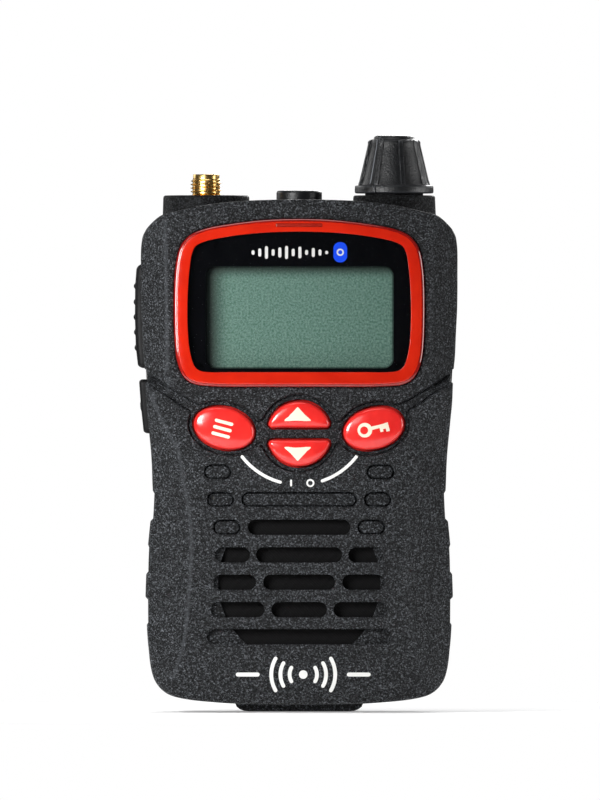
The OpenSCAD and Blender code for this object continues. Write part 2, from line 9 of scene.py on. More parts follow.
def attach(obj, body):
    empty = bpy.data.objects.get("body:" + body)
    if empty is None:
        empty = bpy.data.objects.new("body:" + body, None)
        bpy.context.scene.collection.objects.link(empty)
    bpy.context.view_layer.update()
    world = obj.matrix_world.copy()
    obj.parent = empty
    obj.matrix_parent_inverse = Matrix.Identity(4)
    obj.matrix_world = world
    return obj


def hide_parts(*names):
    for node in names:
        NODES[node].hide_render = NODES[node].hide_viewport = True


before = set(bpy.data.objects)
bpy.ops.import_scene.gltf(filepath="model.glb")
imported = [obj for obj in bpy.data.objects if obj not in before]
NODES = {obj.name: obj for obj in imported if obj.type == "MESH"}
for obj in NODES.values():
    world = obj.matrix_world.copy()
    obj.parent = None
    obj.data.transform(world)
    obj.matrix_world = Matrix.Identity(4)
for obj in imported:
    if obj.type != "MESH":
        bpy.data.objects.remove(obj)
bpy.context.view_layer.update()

MM = 0.001
YF = -15.5          # front face
YS = -10.2          # front edge of the side walls
YI = -13.7          # inner face of the front wall

# ------------------------------------------------------------------ materials


class Mat:
    """A node material whose texture coordinates are the object's own, in millimetres."""

    def __init__(self, name, base=(0.5, 0.5, 0.5), rough=0.5, metal=0.0, spec=0.5, coat=0.0, coat_rough=0.1):
        self.m = bpy.data.materials.new(name)
        self.m.use_nodes = True
        self.t = self.m.node_tree
        self.b = self.t.nodes["Principled BSDF"]
        s = self.b.inputs
        s["Base Color"].default_value = (*base, 1)
        s["Roughness"].default_value = rough
        s["Metallic"].default_value = metal
        s["Specular IOR Level"].default_value = spec
        s["Coat Weight"].default_value = coat
        s["Coat Roughness"].default_value = coat_rough
        tc = self.node("ShaderNodeTexCoord")
        mp = self.node("ShaderNodeMapping")
        mp.inputs["Scale"].default_value = (1000, 1000, 1000)
        self.link(tc.outputs["Object"], mp.inputs["Vector"])
        self.co = mp.outputs["Vector"]
        self.normal = None

    def node(self, kind, **kw):
        n = self.t.nodes.new(kind)
        for k, v in kw.items():
            setattr(n, k, v)
        return n

    def link(self, a, b):
        self.t.links.new(a, b)

    def noise(self, scale, detail=3.0, rough=0.55, dist=0.0, co=None, stretch=None):
        n = self.node("ShaderNodeTexNoise")
        n.inputs["Scale"].default_value = scale
        n.inputs["Detail"].default_value = detail
        n.inputs["Roughness"].default_value = rough
        n.inputs["Distortion"].default_value = dist
        co = co or self.co
        if stretch:
            mp = self.node("ShaderNodeMapping")
            mp.inputs["Scale"].default_value = stretch
            self.link(co, mp.inputs["Vector"])
            co = mp.outputs["Vector"]
        self.link(co, n.inputs["Vector"])
        return n.outputs["Fac"]

    def voronoi(self, scale, feature="F1", smooth=None):
        n = self.node("ShaderNodeTexVoronoi", feature=feature)
        n.inputs["Scale"].default_value = scale
        if smooth is not None:
            n.inputs["Smoothness"].default_value = smooth
        self.link(self.co, n.inputs["Vector"])
        return n.outputs["Distance"]

    def ramp(self, fac, stops):
        r = self.node("ShaderNodeValToRGB")
        e = r.color_ramp.elements
        while len(e) < len(stops):
            e.new(0.5)
        for i, (p, c) in enumerate(stops):
            e[i].position = p
            e[i].color = (*c, 1) if isinstance(c, tuple) else (c, c, c, 1)
        self.link(fac, r.inputs["Fac"])
        return r.outputs["Color"]

    def math(self, op, a, b=None, c=None):
        n = self.node("ShaderNodeMath", operation=op)
        for i, v in enumerate([a, b, c]):
            if v is None:
                continue
            if isinstance(v, (int, float)):
                n.inputs[i].default_value = v
            else:
                self.link(v, n.inputs[i])
        return n.outputs[0]

    def mix(self, fac, a, b):
        n = self.node("ShaderNodeMix", data_type="RGBA")
        if isinstance(fac, (int, float)):
            n.inputs[0].default_value = fac
        else:
            self.link(fac, n.inputs[0])
        for i, v in ((6, a), (7, b)):
            if isinstance(v, tuple):
                n.inputs[i].default_value = (*v, 1)
            else:
                self.link(v, n.inputs[i])
        return n.outputs[2]

    def bump(self, height, strength, dist):
        n = self.node("ShaderNodeBump")
        n.inputs["Strength"].default_value = strength
        n.inputs["Distance"].default_value = dist * MM
        self.link(height, n.inputs["Height"])
        if self.normal is not None:
            self.link(self.normal, n.inputs["Normal"])
        self.normal = n.outputs["Normal"]
        self.link(self.normal, self.b.inputs["Normal"])

    def color(self, out):
        self.link(out, self.b.inputs["Base Color"])

    def rough(self, out):
        self.link(out, self.b.inputs["Roughness"])

    def crease_highlight(self):
        """Weight of the painted highlight along the facet crease, read from the mesh's ridge attribute."""
        a = self.node("ShaderNodeAttribute", attribute_name="ridge")
        return a.outputs["Fac"]

    def edge(self, lo=0.5, hi=0.62):
        """1 on convex edges, 0 elsewhere."""
        g = self.node("ShaderNodeNewGeometry")
        return self.ramp(g.outputs["Pointiness"], [(lo, 0.0), (hi, 1.0)])


def grained(name, dark, light, rough=0.5, grain=2.2, depth=0.09, spec=0.5, strength=0.9, coat=0.0):
    """Moulded plastic with a leather-like spark-eroded grain."""
    m = Mat(name, dark, rough, spec=spec, coat=coat, coat_rough=0.35)
    n1 = m.noise(grain, 4.0, 0.62, 0.3)
    n2 = m.voronoi(grain * 1.35, "SMOOTH_F1", 0.55)
    n3 = m.noise(grain * 0.06, 2.0, 0.5)
    h = m.math("ADD", m.math("MULTIPLY", n1, 0.62), m.math("MULTIPLY", n2, 0.5))
    m.bump(h, strength, depth)
    tone = m.ramp(h, [(0.35, dark), (0.72, light)])
    m.color(m.mix(m.math("MULTIPLY", n3, 0.35), tone, dark))
    r = m.ramp(n1, [(0.3, rough - 0.08), (0.7, min(1.0, rough + 0.12))])
    m.rough(r)
    return m.m


def satin(name, base, rough=0.45, grain=6.0, spec=0.5, depth=0.012, metal=0.0, coat=0.0, stretch=None, var=0.25):
    m = Mat(name, base, rough, metal=metal, spec=spec, coat=coat)
    n = m.noise(grain, 3.0, 0.6, stretch=stretch)
    big = m.noise(grain * 0.04, 2.0, 0.5)
    m.bump(n, 0.6, depth)
    lo = tuple(c * (1 - var) for c in base)
    hi = tuple(min(1.0, c * (1 + var)) for c in base)
    m.color(m.ramp(m.math("ADD", m.math("MULTIPLY", n, 0.5), m.math("MULTIPLY", big, 0.5)), [(0.3, lo), (0.7, hi)]))
    m.rough(m.ramp(big, [(0.3, max(0.02, rough - 0.06)), (0.7, min(1.0, rough + 0.08))]))
    return m.m


MATS = {}


def fleck_mat(name, cell=4.3, lo=0.0015, mid=0.0142, hi=0.15, bump=0.36, rough=0.5, spec=0.2):
    """Spark-eroded grain: small raised flecks, some of them bright, over a dark ground, with a painted highlight mixed
    in along the mesh's ridge attribute.
    """
    m = Mat(name, (mid, mid, mid), rough, spec=spec)
    v = m.node("ShaderNodeTexVoronoi", feature="F1")
    v.inputs["Scale"].default_value = cell
    m.link(m.co, v.inputs["Vector"])
    sep = m.node("ShaderNodeSeparateColor")
    m.link(v.outputs["Color"], sep.inputs[0])
    n1 = m.noise(cell * 0.75, 2.0, 0.5, 0.2)
    pick = m.math("ADD", m.math("MULTIPLY", sep.outputs[0], 0.55), m.math("MULTIPLY", n1, 0.65))
    peb = m.ramp(pick, [(0.40, 0.0), (0.66, 0.45), (0.88, 1.0)])
    m.bump(m.math("ADD", m.math("MULTIPLY", peb, 0.7), m.math("MULTIPLY", n1, 0.6)), 1.0, bump)
    tint = lambda c: (c * 0.93, c, c * 1.1)
    # painted highlight: the colour is lightened towards light grey along the crease that the ridge attribute marks
    m.color(m.mix(m.math("MULTIPLY", m.crease_highlight(), 0.4), m.ramp(pick, [(0.30, tint(lo)), (0.58, tint(mid)), (0.76, tint(mid * 3.2)), (0.95, tint(hi))]), tint(0.09)))
    m.rough(m.ramp(peb, [(0.0, min(1.0, rough + 0.14)), (1.0, rough - 0.1)]))
    return m.m


MATS["case"] = fleck_mat("case_grain")
# painted shade: the top bosses get a darker copy of the case grain, with a lower bump, though they are the same plastic
# as the case
MATS["boss"] = fleck_mat("boss_grain_painted_shade", 4.2, 0.001, 0.0045, 0.04, 0.12, 0.5, 0.15)
_k = Mat("knob_grain", (0.008, 0.0085, 0.0095), 0.34, spec=0.6)
_n1 = _k.noise(3.2, 3.0, 0.6, 0.2)
_k.bump(_n1, 1.0, 0.10)
# painted highlight: the knob's convex rib edges are coloured light grey, standing in for the glints along them
_k.color(_k.mix(_k.edge(0.53, 0.60), _k.ramp(_n1, [(0.35, (0.0035, 0.004, 0.0045)), (0.6, (0.012, 0.013, 0.0145)), (0.75, (0.03, 0.032, 0.035))]), (0.17, 0.18, 0.2)))
_k.rough(_k.ramp(_n1, [(0.3, 0.28), (0.7, 0.42)]))
MATS["knob"] = _k.m
MATS["battery"] = grained("battery_grain", (0.006, 0.0065, 0.0075), (0.026, 0.028, 0.031), rough=0.42, grain=2.8, depth=0.14)
MATS["chassis"] = grained("chassis_grain", (0.006, 0.0065, 0.0075), (0.022, 0.023, 0.026), rough=0.45, grain=3.2, depth=0.08)
MATS["clip"] = grained("clip_grain", (0.007, 0.007, 0.008), (0.02, 0.021, 0.023), rough=0.38, grain=4.0, depth=0.05)
MATS["button"] = satin("button_satin", (0.009, 0.0095, 0.011), 0.34, 4.0, depth=0.06)
MATS["side_key"] = satin("side_key_rubber", (0.003, 0.0032, 0.0037), 0.58, 4.0, depth=0.05)
MATS["rubber"] = satin("seal_rubber", (0.008, 0.008, 0.008), 0.7, 4.0)
MATS["white_print"] = satin("print_white", (0.82, 0.82, 0.8), 0.45, 8.0, depth=0.006, var=0.03)
MATS["cream_print"] = satin("print_cream", (0.88, 0.78, 0.62), 0.4, 8.0, depth=0.004, var=0.03)
MATS["blue_print"] = satin("print_blue", (0.001, 0.075, 0.98), 0.35, 8.0, depth=0.004, var=0.05)
MATS["steel"] = satin("nickel_plate", (0.55, 0.54, 0.52), 0.3, 3.0, metal=1.0, depth=0.01, stretch=(1, 1, 9))
MATS["spring"] = satin("spring_wire", (0.5, 0.5, 0.52), 0.25, 3.0, metal=1.0, depth=0.005)
MATS["screw"] = satin("screw_black", (0.08, 0.08, 0.085), 0.35, 3.0, metal=1.0, depth=0.01)
MATS["white"] = satin("white_plastic", (0.7, 0.7, 0.67), 0.35, 4.0, var=0.06)
MATS["cell"] = satin("cell_wrap", (0.05, 0.16, 0.42), 0.3, 2.0, depth=0.03)
MATS["mat_rubber"] = satin("mat_rubber", (0.45, 0.45, 0.43), 0.6, 3.0, var=0.08)
MATS["cone"] = satin("cone_paper", (0.02, 0.02, 0.021), 0.8, 3.0, depth=0.05)


def board_mat():
    m = Mat("circuit_board", (0.01, 0.09, 0.04), 0.35)
    br = m.node("ShaderNodeTexBrick")
    br.inputs["Scale"].default_value = 0.35
    br.inputs["Mortar Size"].default_value = 0.03
    m.link(m.co, br.inputs["Vector"])
    n = m.noise(1.2, 3.0)
    tone = m.ramp(n, [(0.4, (0.008, 0.07, 0.03)), (0.6, (0.02, 0.13, 0.06))])
    m.color(m.mix(m.math("MULTIPLY", br.outputs["Fac"], 0.6), tone, (0.35, 0.25, 0.08)))
    m.bump(br.outputs["Fac"], 0.5, 0.03)
    return m.m


def red_ring_mat():
    m = Mat("red_frame", (0.55, 0.017, 0.004), 0.16, spec=0.5, coat=0.35, coat_rough=0.05)
    m.b.inputs["Subsurface Weight"].default_value = 0.25
    m.b.inputs["Subsurface Radius"].default_value = (0.004, 0.0008, 0.0004)
    m.b.inputs["Subsurface Scale"].default_value = 0.5
    # a faint painted glow: the red frame gives off red light of its own, though it is no lamp
    m.b.inputs["Emission Strength"].default_value = 0.06
    m.b.inputs["Emission Color"].default_value = (1.0, 0.03, 0.005, 1)
    n = m.noise(0.16, 2.0)
    e = m.node("ShaderNodeNewGeometry")
    tone = m.ramp(n, [(0.35, (0.50, 0.013, 0.0033)), (0.65, (0.57, 0.018, 0.0045))])
    m.color(tone)
    fine = m.noise(6.0, 2.0)
    m.bump(fine, 0.15, 0.01)
    m.rough(m.ramp(m.noise(0.8, 3.0), [(0.35, 0.1), (0.7, 0.22)]))
    return m.m


# painted shade: the outer bevel of the red frame gets a darker red than its face
def ring_edge_mat():
    m = Mat("red_frame_bevel_shade", (0.26, 0.006, 0.004), 0.09, coat=1.0, coat_rough=0.03)
    m.color(m.ramp(m.noise(0.3, 2.0), [(0.35, (0.22, 0.004, 0.003)), (0.65, (0.30, 0.008, 0.005))]))
    m.rough(m.ramp(m.noise(0.8, 3.0), [(0.35, 0.06), (0.7, 0.14)]))
    m.bump(m.noise(6.0, 2.0), 0.1, 0.008)
    return m.m


def key_mat():
    m = Mat("red_key", (0.78, 0.024, 0.02), 0.2, coat=0.6, coat_rough=0.12)
    m.b.inputs["Subsurface Weight"].default_value = 0.15
    m.b.inputs["Subsurface Radius"].default_value = (0.003, 0.0006, 0.0004)
    m.b.inputs["Subsurface Scale"].default_value = 0.5
    m.color(m.ramp(m.noise(0.3, 2.0), [(0.35, (0.76, 0.022, 0.02)), (0.65, (0.86, 0.032, 0.026))]))
    m.bump(m.noise(5.0, 2.0), 0.12, 0.008)
    m.rough(m.ramp(m.noise(1.1, 3.0), [(0.35, 0.14), (0.7, 0.26)]))
    return m.m


def black_gloss():
    m = Mat("window_black", (0.0022, 0.0024, 0.0032), 0.06, spec=0.35)
    m.color(m.ramp(m.noise(0.5, 2.0), [(0.3, (0.0018, 0.002, 0.0028)), (0.7, (0.003, 0.0032, 0.0042))]))
    m.rough(m.ramp(m.noise(0.9, 3.0), [(0.35, 0.04), (0.7, 0.1)]))
    m.bump(m.noise(3.0, 2.0), 0.06, 0.006)
    return m.m


def clear_glass():
    m = Mat("window_clear", (0.004, 0.005, 0.006), 0.04, spec=0.5)
    m.b.inputs["Alpha"].default_value = 0.12
    m.bump(m.noise(0.12, 1.0), 0.1, 0.01)
    m.rough(m.ramp(m.noise(0.7, 2.0), [(0.35, 0.03), (0.7, 0.07)]))
    m.m.surface_render_method = "DITHERED"
    return m.m


def lcd_mat():
    m = Mat("lcd", (0.15, 0.28, 0.23), 0.5, spec=0.3)
    fine = m.noise(2.4, 3.0, 0.75)
    big = m.noise(0.06, 2.0)
    tone = m.ramp(fine, [(0.38, (0.056, 0.16, 0.113)), (0.62, (0.245, 0.40, 0.333))])
    tone = m.mix(m.math("MULTIPLY", big, 0.4), tone, (0.15, 0.275, 0.228))
    sep = m.node("ShaderNodeSeparateXYZ")
    m.link(m.co, sep.inputs[0])
    # the panel lies deep behind the mask, and its colour is darkened towards the opening's edges, most along the left
    # and top: a painted shadow of the mask's rim

    def shadow_fade(sock, at, width, low):
        r = m.node("ShaderNodeMapRange", interpolation_type="SMOOTHERSTEP")
        r.inputs["From Min"].default_value = at
        r.inputs["From Max"].default_value = at + width
        r.inputs["To Min"].default_value = low
        r.inputs["To Max"].default_value = 1.0
        m.link(sock, r.inputs["Value"])
        return r.outputs[0]

    f = m.math("MULTIPLY", shadow_fade(sep.outputs[0], -18.9, 6.2, 0.01), shadow_fade(sep.outputs[2], 88.2, -3.4, 0.08))
    f = m.math("MULTIPLY", f, shadow_fade(sep.outputs[2], 67.0, 1.6, 0.35))
    f = m.math("MULTIPLY", f, shadow_fade(sep.outputs[0], 19.0, -1.3, 0.45))
    m.color(m.mix(f, (0.012, 0.02, 0.016), tone))
    m.bump(fine, 0.3, 0.02)
    m.rough(m.ramp(big, [(0.3, 0.45), (0.7, 0.58)]))
    return m.m


def gold_mat():
    m = Mat("gold", (0.9, 0.6, 0.2), 0.24, metal=1.0)
    n = m.noise(1.2, 3.0, stretch=(1, 1, 8))
    m.color(m.ramp(n, [(0.3, (0.84, 0.52, 0.15)), (0.7, (0.96, 0.68, 0.27))]))
    m.rough(m.ramp(m.noise(2.5, 3.0), [(0.3, 0.22), (0.7, 0.32)]))
    m.bump(n, 0.1, 0.003)
    return m.m


def cloth_mat():
    m = Mat("speaker_cloth", (0.008, 0.008, 0.009), 0.75, spec=0.15)
    m.b.inputs["Sheen Weight"].default_value = 0.06
    m.b.inputs["Sheen Roughness"].default_value = 0.4
    w = m.node("ShaderNodeTexWave", wave_type="BANDS", bands_direction="DIAGONAL")
    w.inputs["Scale"].default_value = 1.1
    w.inputs["Distortion"].default_value = 0.6
    w.inputs["Detail"].default_value = 1.0
    m.link(m.co, w.inputs["Vector"])
    n = m.noise(5.0, 3.0)
    h = m.math("ADD", m.math("MULTIPLY", w.outputs["Fac"], 0.3), m.math("MULTIPLY", n, 0.7))
    m.color(m.ramp(h, [(0.3, (0.0006, 0.0006, 0.0007)), (0.75, (0.004, 0.004, 0.0045))]))
    m.bump(h, 0.7, 0.08)
    m.rough(m.ramp(n, [(0.3, 0.6), (0.7, 0.85)]))
    return m.m


def pipe_mat():
    m = Mat("light_pipe", (0.4, 0.02, 0.012), 0.12, coat=0.4, coat_rough=0.04)
    m.b.inputs["Transmission Weight"].default_value = 0.25
    m.color(m.ramp(m.noise(0.5, 2.0), [(0.3, (0.36, 0.014, 0.008)), (0.7, (0.5, 0.035, 0.02))]))
    m.rough(m.ramp(m.noise(1.0, 2.0), [(0.3, 0.08), (0.7, 0.2)]))
    m.bump(m.noise(2.0, 2.0), 0.1, 0.01)
    return m.m


MATS["board"] = board_mat()


def dull(key, level):
    for n in MATS[key].node_tree.nodes:
        if n.type == "BSDF_PRINCIPLED":
            n.inputs["Specular IOR Level"].default_value = level


dull("side_key", 0.2)
MATS["ring"] = red_ring_mat()
MATS["ring_edge"] = ring_edge_mat()
MATS["key"] = key_mat()
MATS["black"] = black_gloss()
MATS["glass"] = clear_glass()
MATS["lcd"] = lcd_mat()
MATS["gold"] = gold_mat()
MATS["cloth"] = cloth_mat()
MATS["pipe"] = pipe_mat()

# ------------------------------------------------------------------ mesh help


class Builder:
    """Collects points in millimetres and faces, and makes one clean mesh."""

    def __init__(self):
        self.v = []
        self.f = []

    def add(self, verts, faces):
        k = len(self.v)
        self.v.extend([tuple(float(c) for c in p) for p in verts])
        self.f.extend([tuple(int(i) + k for i in f) for f in faces])

    def quads(self, rows, closed=True):
        """rows: equal-length lists of points; quads between neighbours."""
        n = len(rows[0])
        pts = [p for r in rows for p in r]
        faces = []
        for i in range(len(rows) - 1):
            for j in range(n if closed else n - 1):
                a, b = i * n + j, i * n + (j + 1) % n
                faces.append((a, b, b + n, a + n))
        self.add(pts, faces)

    def fan(self, ring, centre):
        n = len(ring)
        self.add(list(ring) + [centre], [(i, (i + 1) % n, n) for i in range(n)])

    def obj(self, name, mat, body, slot, replaces=(), angle=32, merge=2e-4, recalc=True):
        me = bpy.data.meshes.new(name)
        me.from_pydata([(x * MM, y * MM, z * MM) for x, y, z in self.v], [], self.f)
        bm = bmesh.new()
        bm.from_mesh(me)
        bmesh.ops.remove_doubles(bm, verts=bm.verts, dist=merge * MM)
        bmesh.ops.dissolve_degenerate(bm, edges=bm.edges, dist=merge * MM * 0.5)
        rim = [v for v in bm.verts if any(len(e.link_faces) == 1 for e in v.link_edges)]
        if rim:
            bmesh.ops.remove_doubles(bm, verts=rim, dist=0.004 * MM)
        thin = {f for e in bm.edges if len(e.link_faces) > 2 for f in e.link_faces if f.calc_area() < 0.02 * MM * MM}
        if thin:
            bmesh.ops.delete(bm, geom=sorted(thin, key=lambda f: f.index), context="FACES_ONLY")
        gaps = [e for e in bm.edges if len(e.link_faces) == 1]
        if gaps:
            bmesh.ops.holes_fill(bm, edges=gaps, sides=8)
        loose = [v for v in bm.verts if not v.link_faces]
        bmesh.ops.delete(bm, geom=loose, context="VERTS")
        if recalc:
            bmesh.ops.recalc_face_normals(bm, faces=bm.faces)
        bm.to_mesh(me)
        bm.free()
        me.materials.append(MATS[mat])
        o = bpy.data.objects.new(name, me)
        bpy.context.scene.collection.objects.link(o)
        me.shade_smooth()
        me.set_sharp_from_angle(angle=math.radians(angle))
        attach(o, body)
        if replaces:
            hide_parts(*replaces)
        return o


def triangulate(points, edges):
    """Constrained Delaunay triangles of 2D points; returns points and triangles."""
    v, e, f, ov, oe, of_ = delaunay_2d_cdt([Vector((float(p[0]), float(p[1]))) for p in points], edges, [], 0, 1e-6)
    return np.array([(p.x, p.y) for p in v]), np.array([t for t in f if len(t) == 3])


def inside(px, poly):
    """Even-odd test of points (n,2) against a closed polygon."""
    poly = np.asarray(poly)
    x, y = px[:, 0], px[:, 1]
    out = np.zeros(len(px), bool)
    x1, y1 = poly[:, 0], poly[:, 1]
    x2, y2 = np.roll(x1, -1), np.roll(y1, -1)
    for a, b, c, d in zip(x1, y1, x2, y2):
        if b == d:
            continue
        hit = ((b > y) != (d > y)) & (x < (c - a) * (y - b) / (d - b) + a)
        out ^= hit
    return out


def poly_dist(px, poly, closed=True):
    """Distance of points to a polyline."""
    poly = np.asarray(poly, float)
    a = poly if closed else poly[:-1]
    b = np.roll(poly, -1, axis=0) if closed else poly[1:]
    best = np.full(len(px), 1e9)
    for p, q in zip(a, b):
        d = q - p
        L = d @ d
        if L < 1e-12:
            continue
        t = np.clip(((px - p) @ d) / L, 0, 1)
        e = px - p - t[:, None] * d
        best = np.minimum(best, (e * e).sum(1))
    return np.sqrt(best)


def offset_ring(ring, d):
    """Moves a closed counter-clockwise ring outwards by d."""
    r = np.asarray(ring, float)
    e1 = r - np.roll(r, 1, axis=0)
    e2 = np.roll(r, -1, axis=0) - r
    n1 = np.stack([e1[:, 1], -e1[:, 0]], 1)
    n2 = np.stack([e2[:, 1], -e2[:, 0]], 1)
    n1 /= np.maximum(np.linalg.norm(n1, axis=1, keepdims=True), 1e-9)
    n2 /= np.maximum(np.linalg.norm(n2, axis=1, keepdims=True), 1e-9)
    n = n1 + n2
    n /= np.maximum((n * n).sum(1, keepdims=True), 0.6) / 2
    return r + n * d


def ccw(ring):
    r = np.asarray(ring, float)
    area = 0.5 * np.sum(r[:, 0] * np.roll(r[:, 1], -1) - np.roll(r[:, 0], -1) * r[:, 1])
    return r if area > 0 else r[::-1]


def resample(pts, step, closed=False):
    """Even steps along straight segments, keeping the given corners."""
    pts = np.asarray(pts, float)
    out = []
    m = len(pts)
    for i in range(m if closed else m - 1):
        a, b = pts[i], pts[(i + 1) % m]
        n = max(1, int(math.ceil(np.linalg.norm(b - a) / step)))
        for k in range(n):
            out.append(a + (b - a) * k / n)
    if not closed:
        out.append(pts[-1])
    return np.array(out)


def spline(pts, step, closed=False):
    """Centripetal Catmull-Rom through the points."""
    p = [np.asarray(q, float) for q in pts]
    if closed:
        p = [p[-1]] + p + [p[0], p[1]]
    else:
        p = [2 * p[0] - p[1]] + p + [2 * p[-1] - p[-2]]
    out = []
    for i in range(1, len(p) - 2):
        p0, p1, p2, p3 = p[i - 1], p[i], p[i + 1], p[i + 2]
        t0 = 0.0
        t1 = t0 + max(np.linalg.norm(p1 - p0), 1e-6) ** 0.5
        t2 = t1 + max(np.linalg.norm(p2 - p1), 1e-6) ** 0.5
        t3 = t2 + max(np.linalg.norm(p3 - p2), 1e-6) ** 0.5
        n = max(1, int(math.ceil(np.linalg.norm(p2 - p1) / step)))
        for k in range(n):
            t = t1 + (t2 - t1) * k / n
            a1 = (t1 - t) / (t1 - t0) * p0 + (t - t0) / (t1 - t0) * p1
            a2 = (t2 - t) / (t2 - t1) * p1 + (t - t1) / (t2 - t1) * p2
            a3 = (t3 - t) / (t3 - t2) * p2 + (t - t2) / (t3 - t2) * p3
            b1 = (t2 - t) / (t2 - t0) * a1 + (t - t0) / (t2 - t0) * a2
            b2 = (t3 - t) / (t3 - t1) * a2 + (t - t1) / (t3 - t1) * a3
            out.append((t2 - t) / (t2 - t1) * b1 + (t - t1) / (t2 - t1) * b2)
    if not closed:
        out.append(p[-2])
    return np.array(out)


def contour(fn, x0, x1, z0, z1, step, level):
    """Line segments where fn crosses level, by marching squares."""
    xs = np.arange(x0, x1 + step, step)
    zs = np.arange(z0, z1 + step, step)
    gx, gz = np.meshgrid(xs, zs, indexing="ij")
    val = fn(np.stack([gx.ravel(), gz.ravel()], 1)).reshape(gx.shape) - level
    val[np.abs(val) < 1e-7] = 1e-7
    pts, index, segs = [], {}, []

    def cross(i, j, k, l):
        key = (i, j, k, l)
        if key not in index:
            a, b = val[i, j], val[k, l]
            t = a / (a - b)
            index[key] = len(pts)
            pts.append((xs[i] + (xs[k] - xs[i]) * t, zs[j] + (zs[l] - zs[j]) * t))
        return index[key]

    sgn = val > 0
    ci, cj = np.nonzero((sgn[:-1, :-1] != sgn[1:, :-1]) | (sgn[:-1, :-1] != sgn[:-1, 1:]) | (sgn[:-1, :-1] != sgn[1:, 1:]))
    for i, j in zip(ci, cj):
        hits = []
        for a, b, c, d in ((i, j, i + 1, j), (i + 1, j, i + 1, j + 1), (i, j + 1, i + 1, j + 1), (i, j, i, j + 1)):
            if sgn[a, b] != sgn[c, d]:
                hits.append(cross(a, b, c, d))
        if len(hits) == 2:
            segs.append(tuple(hits))
        elif len(hits) == 4:
            segs += [(hits[0], hits[1]), (hits[2], hits[3])]
    return np.array(pts), segs


# ------------------------------------------------------------------ shape of the case, right half, X and Z in mm

W = 31.27
low_curve = [(0, 1.4), (8, 1.47), (14.2, 1.66), (22.2, 2.45), (25.3, 3.2), (26.75, 4), (27.6, 4.8), (28.2, 5.6), (28.65, 6.4), (29.15, 8), (29.5, 10), (29.7, 12), (29.9, 13.9), (30.1, 16.9)]
grips = [(30.1, 17.1), (29.82, 17.55), (29.84, 19.9), (29.85, 22.1), (30.3, 22.55), (30.36, 22.8), (30.3, 25), (30.22, 27.0), (30.15, 27.2), (29.8, 27.65), (29.75, 30), (29.65, 32.4), (29.75, 32.7),
         (29.85, 32.95), (29.65, 35), (29.42, 37.3), (29.35, 37.6), (28.85, 38.1), (28.7, 40.4), (28.52, 42.7), (28.62, 43.1), (28.92, 43.6)]
mid_curve = [(28.92, 43.6), (29, 45.2), (29.1, 48.4), (29.3, 51.6), (29.6, 54.7), (29.9, 57.9), (30.2, 61), (30.33, 64.3), (30.36, 64.7)]
notch = [(30.36, 64.7), (30.3, 64.9), (29.98, 65.1), (29.95, 65.4), (29.98, 67.1), (30.0, 67.4), (30.45, 67.6), (30.55, 67.8)]
high_curve = [(30.55, 67.8), (30.6, 68.4), (30.75, 69.8), (31.0, 75.3), (31.2, 79.2), (W, 83.2), (W, 86.3), (W, 90.6), (31.17, 92.2), (30.9, 93.8), (30.55, 94.56), (30.1, 95.35), (29.4, 96.15), (28.4, 97.1), (27.1, 98), (25, 98.55),
              (23, 99.06), (18.6, 99.97), (14.5, 100.5), (10.1, 100.85), (5, 101.02), (0, 101.06)]
half = np.vstack([spline(low_curve, 0.6)[:-1], resample(grips, 0.6)[:-1], spline(mid_curve, 0.7)[:-1], resample(notch, 0.4)[:-1], spline(high_curve, 0.6)])
split = int(np.argmin(np.abs(half[:, 1] - 86.3) + 100 * (half[:, 0] < 30)))
half[split] = (W, 86.3)
outline = np.vstack([half, [(-x, z) for x, z in half[-2:0:-1]]])   # counter-clockwise from the bottom centre
assert len(ccw(outline)) and np.allclose(ccw(outline)[0], outline[0])

plain_half = [p for p in low_curve] + [(30.0, 20), (29.95, 25), (29.7, 30), (29.4, 35), (29.1, 40)] + mid_curve[:-1] + [(30.42, 66), (30.5, 67.8)] + high_curve[1:]
plain_half = spline(plain_half, 0.7)
plain = np.vstack([plain_half, [(-x, z) for x, z in plain_half[-2:0:-1]]])

side_z = [1, 8, 16.9, 22.6, 37.4, 43.6, 52, 61, 66.6, 75.3, 83, 102]
side_x = [29.6, 29.9, 30.1, 30.3, 29.5, 29.1, 29.4, 30.2, 30.6, 31, 31.27, 31.27]
up_z, up_x = [55, 67, 83, 98], [25.4, 26.0, 26.2, 26.5]
lo_z = [1, 5.2, 9, 13.9, 20, 26.8, 31.8, 36.5, 41.7, 45.8, 49.2, 52.2, 55.3, 59.5, 64.4, 70]
lo_x = [26.5, 25.4, 24.1, 22.7, 22.0, 21.5, 21.3, 21.4, 22.1, 22.9, 23.4, 24.2, 26, 28, 29.7, 31.5]
lo_curve = spline(list(zip(lo_z, lo_x)), 0.5)
line_up = [(33, 68.6), (30.0, 67.0), (25.6, 64.15), (21.9, 61.9), (20.0, 61.0), (15, 61.2), (0, 62)]
line_lo = [(33, 66.2), (30.2, 64.7), (26.6, 62.6), (24.3, 60.9), (21.3, 59.0)]


def above(ax, z):
    """0 below the diagonal band, 1 above it."""
    xs = np.array([p[0] for p in line_up][::-1])
    zu = np.interp(ax, xs, np.array([p[1] for p in line_up][::-1]))
    zl = np.interp(ax, [21.3, 24.3, 26.6, 30.2, 33], [59.0, 60.9, 62.6, 64.7, 66.2])
    t = np.clip((z - zl) / np.maximum(zu - zl, 0.5), 0, 1)
    return t


def soft(u, w):
    return 0.5 * (u + np.sqrt(u * u + w * w))


